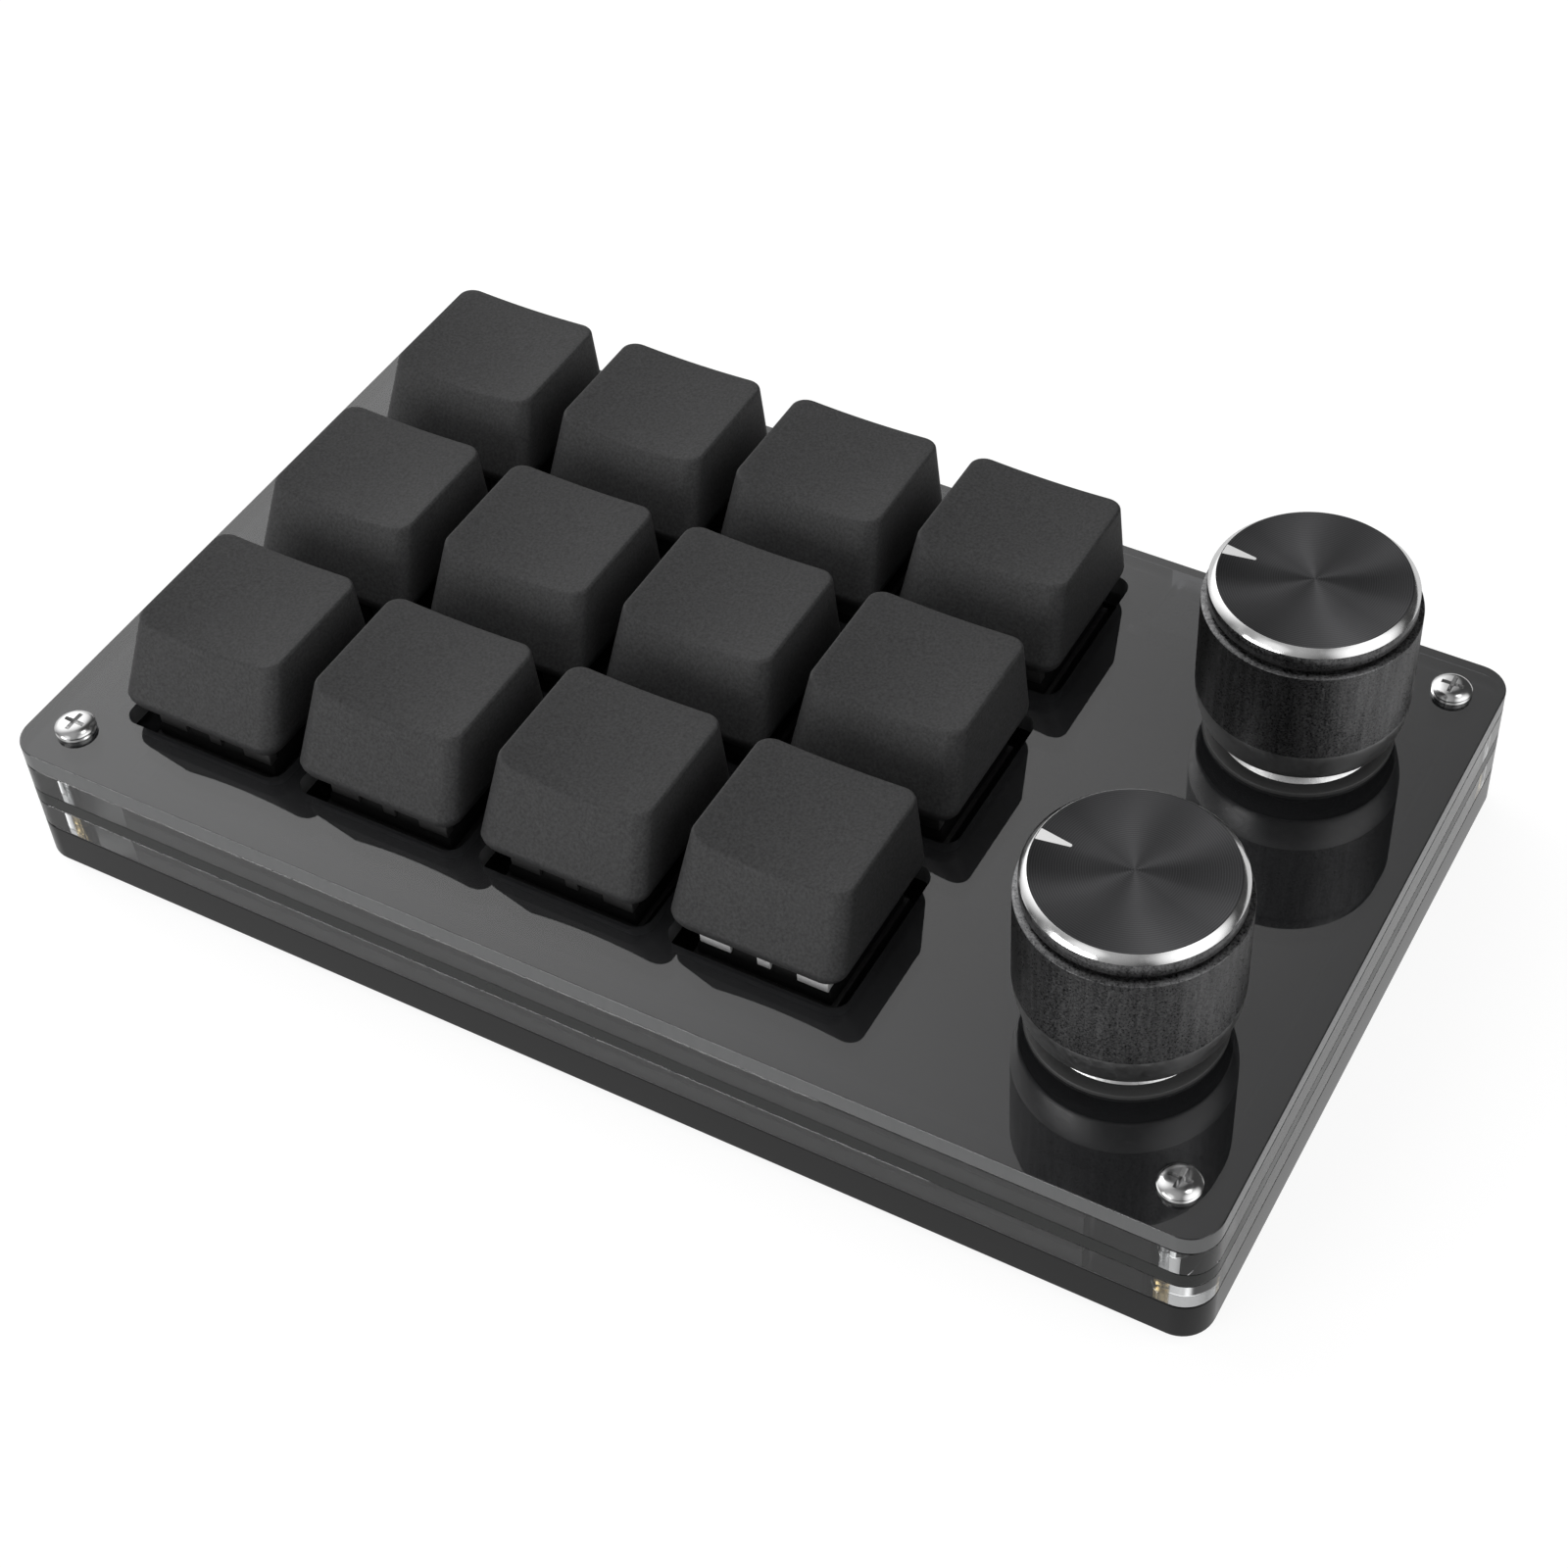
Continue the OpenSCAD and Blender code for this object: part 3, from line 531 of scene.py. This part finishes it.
def insertPiece():
    low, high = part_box("brass_inserts")
    radius = insertCut["radius"]
    h = high.z - low.z
    inner, neck = insertCut["bore"], radius - insertCut["grooveDepth"]
    cut, slope = insertCut["chamfer"], insertCut["grooveSlope"]
    outline = [(inner, 0), (radius - cut, 0), (radius, cut), (radius, 0.4 * h), (neck, 0.4 * h + slope),
               (neck, 0.6 * h - slope), (radius, 0.6 * h), (radius, h - cut), (radius - cut, h), (inner, h)]
    whole = bmesh.new()
    for x in (low.x + radius, high.x - radius):
        for y in (low.y + radius, high.y - radius):
            bm = bmesh.new()
            spinOutline(bm, outline, insertCut["ribs"] * 2)
            for v in bm.verts:
                flat = Vector((v.co.x, v.co.y))
                if flat.length > radius - 0.02 * mm:
                    step = round(math.atan2(flat.y, flat.x) / tau * insertCut["ribs"] * 2)
                    if step % 2:
                        v.co.xy = flat * (1 - insertCut["ribDepth"] / flat.length)
            bmesh.ops.translate(bm, vec=(x, y, low.z), verts=bm.verts)
            part = bpy.data.meshes.new("part")
            bm.to_mesh(part)
            bm.free()
            whole.from_mesh(part)
            bpy.data.meshes.remove(part)
    addPiece("threadedInserts", finishMesh(whole, "threadedInserts", 30), "case",
             [brassMaterial], ["brass_inserts"])


print("stage: screws")
screwPiece()
insertPiece()


# switches

def switchPieces():
    for name, node, slotName, edge in (("switchFeet", "switch_bases", "switch_base", 0.1 * mm),
                                       ("switchHoods", "switch_covers", "switch_cover", 0.12 * mm)):
        bm = mergedCopy(node)
        roundEdges(bm, edge, 2)
        addPiece(name, finishMesh(bm, name), "case", [switchMaterial], [node])


# the last entry picks the one key whose lugs are painted pale, as painted light
toothCut = {"places": ((-4.7, 3.0), (0, 1.3), (4.7, 3.0)), "low": 13.9 * mm, "high": 15.25 * mm,
            "inner": 5.4 * mm, "outer": 6.4 * mm, "rounding": 0.08 * mm, "paintedLightKey": 12}


def toothPiece(name, numbers, material):
    # lugs along the front and back of each cover, just under the cap's lip
    bm = bmesh.new()
    for number in numbers:
        centre = midPlan("keycap_%d" % number)
        for side in (-1, 1):
            for middle, width in toothCut["places"]:
                x = centre.x + middle * mm
                depths = sorted((centre.y + side * toothCut["inner"], centre.y + side * toothCut["outer"]))
                addBox(bm, (x - width / 2 * mm, depths[0], toothCut["low"]),
                       (x + width / 2 * mm, depths[1], toothCut["high"]), toothCut["rounding"])
    addPiece(name, finishMesh(bm, name), "case", [material])


springCut = {"turns": 5.5, "wire": 0.2 * mm, "radius": 1.7 * mm, "sides": 6, "steps": 18,
             "travel": 3 * mm}


def springPiece(number):
    node = "key_spring_%d" % number
    low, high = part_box(node)
    centre = midPlan(node)
    wire, radius = springCut["wire"], springCut["radius"]
    rise = high.z - low.z - 2 * wire
    bm = bmesh.new()
    ring = bmesh.ops.create_circle(bm, segments=springCut["sides"], radius=wire, cap_ends=True)["verts"]
    bmesh.ops.rotate(bm, verts=ring, cent=(0, 0, 0), matrix=Matrix.Rotation(math.pi / 2, 3, "X"))
    bmesh.ops.translate(bm, vec=(radius, 0, low.z + wire), verts=ring)
    steps = int(springCut["turns"] * springCut["steps"])
    bmesh.ops.spin(bm, geom=bm.verts[:] + bm.edges[:] + bm.faces[:], cent=(0, 0, 0), axis=(0, 0, 1),
                   angle=tau * springCut["turns"], steps=steps, dvec=(0, 0, rise / steps),
                   use_duplicate=False)
    bmesh.ops.recalc_face_normals(bm, faces=bm.faces)
    bmesh.ops.translate(bm, vec=centre, verts=bm.verts)
    name = "keySpring%d" % number
    piece = addPiece(name, finishMesh(bm, name, 60), "case", [springMaterial], [node])
    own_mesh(piece)


print("stage: switches")
switchPieces()
# one key's lugs are painted pale, as painted light; the other keys keep the grey lug plastic
toothPiece("switchLugs", [n for n in keyNumbers if n != toothCut["paintedLightKey"]], lugMaterial)
toothPiece("paintedLightLugs", [toothCut["paintedLightKey"]], paintedLightLugMaterial)
for number in keyNumbers:
    springPiece(number)
    dressNode("key_stem_%d" % number, stemMaterial)
dressNode("switch_contacts", contactMaterial)


# keycaps

capCut = {"topWidth": 15.3 * mm, "topDepth": 13 * mm, "lean": 1.7 * mm, "lipHeight": 1.3 * mm,
          "lipIn": 0.45 * mm, "wall": 1.3 * mm, "corner": 1.8 * mm, "edge": 0.28 * mm, "roof": 2.3 * mm,
          "dishFront": 0.8 * mm, "dishBack": 0.3 * mm, "dishHalf": 7.5 * mm, "dishSoft": 0.08 * mm,
          "slice": 0.95 * mm, "bossRadius": 2.8 * mm, "bossBore": 2.15 * mm, "bossFoot": 2.5 * mm}


def capSurface(x, y, height):
    # height of the dished top over a place on the cap: deeper at the front than at the back
    share = 0.5 + (y - capCut["lean"]) / capCut["topDepth"]
    deep = capCut["dishFront"] + (capCut["dishBack"] - capCut["dishFront"]) * share
    cut = height - deep * (1 - (x / capCut["dishHalf"]) ** 2)
    return (height + cut - math.sqrt((height - cut) ** 2 + capCut["dishSoft"] ** 2)) / 2


def shapeCap(co, width, depth, height):
    # a plain block's point moved to the cap's: flared lip, sloping sides, dished top
    lip = capCut["lipHeight"]
    if co.z <= lip:
        turn = math.sin(math.pi / 2 * co.z / lip)
        scaleX = 1 - 2 * capCut["lipIn"] / width * (1 - turn)
        scaleY = 1 - 2 * capCut["lipIn"] / depth * (1 - turn)
        shift = 0
    else:
        share = (co.z - lip) / (height - lip)
        scaleX = 1 + (capCut["topWidth"] / width - 1) * share
        scaleY = 1 + (capCut["topDepth"] / depth - 1) * share
        shift = capCut["lean"] * share
    x, y = co.x * scaleX, co.y * scaleY + shift
    weight = max(0, (co.z - lip) / (height - lip))
    z = co.z - (height - capSurface(x, y, height)) * weight
    return Vector((x, y, z))


def capMesh():
    low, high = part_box("keycap_1")
    width, depth, height = high - low
    bm = bmesh.new()
    addBox(bm, (-width / 2, -depth / 2, 0), (width / 2, depth / 2, height))
    upright = [e for e in bm.edges if abs(e.verts[0].co.z - e.verts[1].co.z) > 1 * mm]
    bmesh.ops.bevel(bm, geom=upright, offset=capCut["corner"], offset_type="OFFSET", segments=9,
                    profile=0.5, affect="EDGES", clamp_overlap=True, material=-1)
    rim = [e for e in bm.edges if all(v.co.z > height - 0.01 * mm for v in e.verts)]
    bmesh.ops.bevel(bm, geom=rim, offset=capCut["edge"], offset_type="OFFSET", segments=5, profile=0.5,
                    affect="EDGES", clamp_overlap=True, material=-1)
    foot = max((f for f in bm.faces if f.normal.z < -0.9), key=lambda f: f.calc_area())
    bmesh.ops.inset_region(bm, faces=[foot], thickness=capCut["wall"], use_even_offset=True)
    raised = bmesh.ops.extrude_face_region(bm, geom=[foot])["geom"]
    inner = [g for g in raised if isinstance(g, bmesh.types.BMVert)]
    bmesh.ops.translate(bm, vec=(0, 0, height - capCut["roof"]), verts=inner)
    if foot.is_valid:
        bmesh.ops.delete(bm, geom=[foot], context="FACES_ONLY")
    slices = [(axis, i * capCut["slice"]) for axis in (0, 1) for i in range(-8, 9)]
    slices += [(2, share * capCut["lipHeight"]) for share in (0.3, 0.65, 1, 1.15)]
    for axis, place in slices:
        point, normal = Vector((0, 0, 0)), Vector((0, 0, 0))
        point[axis], normal[axis] = place, 1
        bmesh.ops.bisect_plane(bm, geom=bm.verts[:] + bm.edges[:] + bm.faces[:], plane_co=point,
                               plane_no=normal, dist=0.01 * mm)
    for v in bm.verts:
        v.co = shapeCap(v.co, width, depth, height)
    bmesh.ops.recalc_face_normals(bm, faces=bm.faces)
    boss = bmesh.new()
    bore, radius = capCut["bossBore"], capCut["bossRadius"]
    foot, roof = capCut["bossFoot"], height - capCut["roof"] + 0.1 * mm
    spinOutline(boss, [(bore, foot), (radius, foot), (radius, roof), (bore, roof)], 32)
    part = bpy.data.meshes.new("part")
    boss.to_mesh(part)
    boss.free()
    bm.from_mesh(part)
    bpy.data.meshes.remove(part)
    return finishMesh(bm, "keycap", 48)


print("stage: keycaps")
blankCap = capMesh()
for number in keyNumbers:
    node = "keycap_%d" % number
    mesh = blankCap.copy()
    mesh.name = "cap%d" % number
    place = midPlan(node)
    place.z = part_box(node)[0].z
    mesh.transform(Matrix.Translation(place))
    addPiece("cap%d" % number, mesh, "key_%d" % number, [capMaterial], [node])
bpy.data.meshes.remove(blankCap)


# knobs

knobCut = {"footRadius": 8.96 * mm, "taper": 3.2 * mm, "rimRadius": 9.07 * mm, "rim": 2.0 * mm,
           "bevel": 0.65 * mm, "groove": 0.55 * mm, "grooveDepth": 0.47 * mm, "bore": 8.3 * mm,
           "roof": 1.9 * mm, "knurls": 240, "knurlDepth": 0.05 * mm, "edge": 0.1 * mm, "hub": 4 * mm}


def knobOutline(radius, height):
    # the steps of a few hundredths beside the bevel keep the shading of its neighbours flat
    c = knobCut
    e, bore, foot, rim, taper = c["edge"], c["bore"], c["footRadius"], c["rimRadius"], c["taper"]
    grooveTop = height - c["rim"]
    knurlTop = grooveTop - c["groove"]
    neck, disc = rim - c["grooveDepth"], rim - c["bevel"]
    face, bevelFoot, roof = height - 0.02 * mm, height - c["bevel"], height - c["roof"]
    outline = [(bore, e), (bore + e, 0), (foot - e, 0), (foot, e)]
    for i in range(1, 7):
        share = i / 6
        outline.append((foot + (radius - foot) * math.sin(share * math.pi / 2), taper * share))
    outline += [(radius, taper + 0.15 * mm), (radius, knurlTop - e - 0.1 * mm), (radius, knurlTop - e),
                (radius - e, knurlTop), (neck, knurlTop), (neck, grooveTop), (rim - e, grooveTop),
                (rim, grooveTop + e), (rim, bevelFoot - 0.04 * mm), (rim - 0.02 * mm, bevelFoot)]
    outline += [(disc + 0.02 * mm, height - 0.01 * mm), (disc, height), (disc - 0.1 * mm, face),
                (c["hub"], face), (0, face), (0, roof), (bore, roof)]
    return outline


def knobPiece(side):
    node = "knob_shell_" + side
    low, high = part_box(node)
    centre = midPlan(node)
    radius, height = (high.x - low.x) / 2, high.z - low.z
    c = knobCut
    bm = bmesh.new()
    spinOutline(bm, knobOutline(radius, height), 2 * c["knurls"])
    knurlTop = height - c["rim"] - c["groove"] - c["edge"]
    rim, foot, bevelFoot = c["rimRadius"], c["footRadius"], height - c["bevel"]
    disc = rim - c["bevel"]
    for v in bm.verts:
        flat = Vector((v.co.x, v.co.y))
        if flat.length > radius - 0.01 * mm and c["taper"] + 0.1 * mm < v.co.z < knurlTop - 0.05 * mm:
            step = round(math.atan2(flat.y, flat.x) / tau * 2 * c["knurls"])
            if step % 2:
                v.co.xy = flat * (1 - c["knurlDepth"] / flat.length)
    for face in bm.faces:
        middle = face.calc_center_median()
        reach = middle.xy.length
        if middle.z > height - 0.05 * mm and reach < disc - 0.02 * mm:
            face.material_index = 1  # disc
        elif middle.z > bevelFoot - 0.001 * mm and reach > disc - 0.06 * mm:
            face.material_index = 2  # bevel
        elif reach < foot - 0.2 * mm or (reach < rim - 0.1 * mm and middle.z > c["taper"]):
            face.material_index = 3  # inside and groove
        elif middle.z < c["taper"]:
            face.material_index = 4  # taper
    place = Vector((centre.x, centre.y, low.z))
    bmesh.ops.translate(bm, vec=place, verts=bm.verts)
    name = "knob_" + side
    disc = spunDisc("spunDisc_" + side, centre)
    addPiece(name, finishMesh(bm, name, 55), "knob_" + side,
             [knurlMaterial, disc, rimMaterial, insertMaterial, taperMaterial], [node])
    return centre, high.z


markCut = {"outer": 8.35 * mm, "inner": 5.4 * mm, "outerHalf": 0.62 * mm, "innerHalf": 0.14 * mm,
           "depth": 0.1 * mm, "corner": 0.11 * mm}


def markPiece(side, centre, top):
    # pale wedge let into the disc, wide at the rim
    bm = bmesh.new()
    c = markCut
    addBox(bm, (-c["outer"], -c["outerHalf"], top - c["depth"]), (-c["inner"], c["outerHalf"], top))
    for v in bm.verts:
        if v.co.x > -(c["outer"] + c["inner"]) / 2:
            v.co.y *= c["innerHalf"] / c["outerHalf"]
    corners = [e for e in bm.edges if abs(e.verts[0].co.z - e.verts[1].co.z) > 0.01 * mm]
    bmesh.ops.bevel(bm, geom=corners, offset=c["corner"], offset_type="OFFSET", segments=4, profile=0.5,
                    affect="EDGES", clamp_overlap=True, material=-1)
    bmesh.ops.translate(bm, vec=centre, verts=bm.verts)
    name = "knobMark_" + side
    addPiece(name, finishMesh(bm, name), "knob_" + side, [rimMaterial])


trimCut = {"outer": 8.6 * mm, "flat": 0.4 * mm, "collarFoot": 7.4 * mm, "collarRise": 0.6 * mm,
           "bore": 6.2 * mm, "edge": 0.1 * mm}


def trimPiece():
    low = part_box("trim_rings")[0]
    c = trimCut
    edge, flat, foot, outer = c["edge"], c["flat"], c["collarFoot"], c["outer"]
    top, rise = flat + c["collarRise"], foot - c["collarRise"]
    outline = [(c["bore"], 0), (outer, 0), (outer, flat - edge), (outer - edge / 3, flat - edge / 3),
               (outer - edge, flat), (foot, flat), (rise, top), (c["bore"], top)]
    whole = bmesh.new()
    for side in knobSides:
        centre = midPlan("knob_shell_" + side)
        bm = bmesh.new()
        spinOutline(bm, outline, 96, centre + Vector((0, 0, low.z)))
        for face in bm.faces:
            middle = face.calc_center_median() - centre
            if middle.xy.length < foot:
                face.material_index = 1
        part = bpy.data.meshes.new("part")
        bm.to_mesh(part)
        bm.free()
        whole.from_mesh(part)
        bpy.data.meshes.remove(part)
    addPiece("knobTrims", finishMesh(whole, "knobTrims", 40), "case",
             [trimMaterial, collarMaterial], ["trim_rings"])


print("stage: knobs")
for side in knobSides:
    centre, top = knobPiece(side)
    markPiece(side, centre, top)
    dressNode("knob_insert_" + side, insertMaterial)
    dressNode("encoder_body_" + side, encoderMaterial)
    dressNode("encoder_plunger_" + side, insertMaterial)
    dressNode("encoder_shaft_" + side, shaftMaterial)
trimPiece()


# socket, chip and feet

def smallPieces():
    for name, node, slotName, material, edge in (
            ("cableSocket", "usb_socket", "socket_steel", socketMaterial, 0.05 * mm),
            ("controller", "controller_chip", "chip_plastic", chipMaterial, 0.1 * mm),
            ("feet", "rubber_feet", "foot_rubber", rubberMaterial, 0.25 * mm)):
        bm = mergedCopy(node)
        roundEdges(bm, edge, 3)
        addPiece(name, finishMesh(bm, name), "case", [material], [node])


print("stage: small pieces")
smallPieces()


# floor, light and camera

stageLook = {"floor": 0.9, "shadow": 0.22, "glow": 0.88, "mirrored": 0.5, "half": 4.0}


def directView(tree):
    # 1 for what the camera sees, straight or by way of metal and glass
    path = tree.nodes.new("ShaderNodeLightPath")
    total = path.outputs["Is Camera Ray"]
    for other in ("Is Glossy Ray", "Is Transmission Ray"):
        larger = tree.nodes.new("ShaderNodeMath")
        larger.operation = "MAXIMUM"
        tree.links.new(total, larger.inputs[0])
        tree.links.new(path.outputs[other], larger.inputs[1])
        total = larger.outputs[0]
    return total


def floorPiece():
    bm = bmesh.new()
    bmesh.ops.create_grid(bm, x_segments=8, y_segments=8, size=stageLook["half"])
    floor = bpy.data.objects.new("floor", finishMesh(bm, "floor"))
    bpy.context.scene.collection.objects.link(floor)
    material = bpy.data.materials.new("floorPaper")
    material.use_nodes = True
    tree = material.node_tree
    tree.nodes.clear()
    plain = tree.nodes.new("ShaderNodeBsdfDiffuse")
    plain.inputs["Color"].default_value = (stageLook["floor"],) * 3 + (1,)
    shaded = tree.nodes.new("ShaderNodeBsdfDiffuse")
    shaded.inputs["Color"].default_value = (stageLook["shadow"],) * 3 + (1,)
    glow = tree.nodes.new("ShaderNodeEmission")
    ranger = tree.nodes.new("ShaderNodeMapRange")
    ranger.inputs["To Min"].default_value = stageLook["glow"]
    ranger.inputs["To Max"].default_value = stageLook["mirrored"]
    path = tree.nodes.new("ShaderNodeLightPath")
    tree.links.new(path.outputs["Is Glossy Ray"], ranger.inputs["Value"])
    tree.links.new(ranger.outputs["Result"], glow.inputs["Strength"])
    adder = tree.nodes.new("ShaderNodeAddShader")
    tree.links.new(shaded.outputs[0], adder.inputs[0])
    tree.links.new(glow.outputs[0], adder.inputs[1])
    mixer = tree.nodes.new("ShaderNodeMixShader")
    tree.links.new(directView(tree), mixer.inputs["Fac"])
    tree.links.new(plain.outputs[0], mixer.inputs[1])
    tree.links.new(adder.outputs[0], mixer.inputs[2])
    output = tree.nodes.new("ShaderNodeOutputMaterial")
    tree.links.new(mixer.outputs[0], output.inputs["Surface"])
    floor.data.materials.append(material)


# soft patches of light around the object, full up to the inner angle and gone at the outer one, in degrees
lobes = (
    {"towards": (-0.78, 0.42, 0.47), "inner": 5, "outer": 53, "strength": 1.78},
    {"towards": (-0.78, 0.34, 0.52), "inner": 1, "outer": 13, "strength": 3.2},
    {"towards": (-0.30, -0.60, 0.74), "inner": 5, "outer": 60, "strength": 0.45},
    {"towards": (-0.25, -0.74, 0.61), "inner": 5, "outer": 18, "strength": 0.7},
    {"towards": (0.85, -0.10, 0.48), "inner": 5, "outer": 42, "strength": 1.7},
    {"towards": (0.38, 0.10, 0.92), "inner": 1, "outer": 12, "strength": 3.2},
)
worldBase = 0.07


def studioWorld():
    world = bpy.data.worlds.new("studio")
    bpy.context.scene.world = world
    world.use_nodes = True
    tree = world.node_tree
    tree.nodes.clear()
    point = tree.nodes.new("ShaderNodeTexCoord").outputs["Generated"]
    total = None
    for lobe in lobes:
        dot = tree.nodes.new("ShaderNodeVectorMath")
        dot.operation = "DOT_PRODUCT"
        dot.inputs[1].default_value = Vector(lobe["towards"]).normalized()
        tree.links.new(point, dot.inputs[0])
        ranger = tree.nodes.new("ShaderNodeMapRange")
        ranger.interpolation_type = "SMOOTHSTEP"
        ranger.inputs["From Min"].default_value = math.cos(math.radians(lobe["outer"]))
        ranger.inputs["From Max"].default_value = math.cos(math.radians(lobe["inner"]))
        ranger.inputs["To Max"].default_value = lobe["strength"]
        tree.links.new(dot.outputs["Value"], ranger.inputs["Value"])
        adder = tree.nodes.new("ShaderNodeMath")
        adder.inputs[1].default_value = worldBase
        tree.links.new(ranger.outputs["Result"], adder.inputs[0])
        if total:
            tree.links.new(total, adder.inputs[1])
        total = adder.outputs[0]
    graded = tree.nodes.new("ShaderNodeBackground")
    tree.links.new(total, graded.inputs["Strength"])
    plain = tree.nodes.new("ShaderNodeBackground")
    seen = tree.nodes.new("ShaderNodeLightPath")
    plain.inputs["Color"].default_value = (1, 1, 1, 1)
    mixer = tree.nodes.new("ShaderNodeMixShader")
    tree.links.new(seen.outputs["Is Camera Ray"], mixer.inputs["Fac"])
    tree.links.new(graded.outputs[0], mixer.inputs[1])
    tree.links.new(plain.outputs[0], mixer.inputs[2])
    output = tree.nodes.new("ShaderNodeOutputWorld")
    tree.links.new(mixer.outputs[0], output.inputs["Surface"])


lampLook = {"place": (-0.28, -0.6, 0.22), "aim": (0, 0, 0.01), "width": 0.45, "height": 0.3,
            "radiance": 4.0}


def keyLamp():
    width, height = lampLook["width"], lampLook["height"]
    lamp = bpy.data.lights.new("keyLamp", "AREA")
    lamp.shape = "RECTANGLE"
    lamp.size, lamp.size_y = width, height
    lamp.energy = lampLook["radiance"] * math.pi * width * height
    obj = bpy.data.objects.new("keyLamp", lamp)
    bpy.context.scene.collection.objects.link(obj)
    place, aim = Vector(lampLook["place"]), Vector(lampLook["aim"])
    obj.location = place
    obj.rotation_euler = (aim - place).to_track_quat("-Z", "Y").to_euler()


def shoot():
    # camera found from the object's own straight edges; it takes the frame as 1600 by 1600
    view = {"place": (99.2, -151.84, 202.77), "right": (0.88497, 0.46526, -0.01918),
            "down": (0.3252, -0.6470, -0.68967), "lens": 66.13, "shift": (-0.0827, -0.0388)}
    camera = bpy.data.cameras.new("camera")
    camera.lens = view["lens"]
    camera.sensor_width = 36
    camera.shift_x, camera.shift_y = view["shift"]
    camera.clip_start = 0.01
    obj = bpy.data.objects.new("camera", camera)
    bpy.context.scene.collection.objects.link(obj)
    right = Vector(view["right"]).normalized()
    up = -Vector(view["down"]).normalized()
    back = right.cross(up).normalized()
    up = back.cross(right)
    turn = Matrix((right, up, back)).transposed().to_4x4()
    obj.matrix_world = Matrix.Translation(Vector(view["place"]) * mm) @ turn
    bpy.context.scene.camera = obj


print("stage: light and camera")
floorPiece()
studioWorld()
keyLamp()
shoot()
bpy.context.scene.view_settings.view_transform = "Standard"
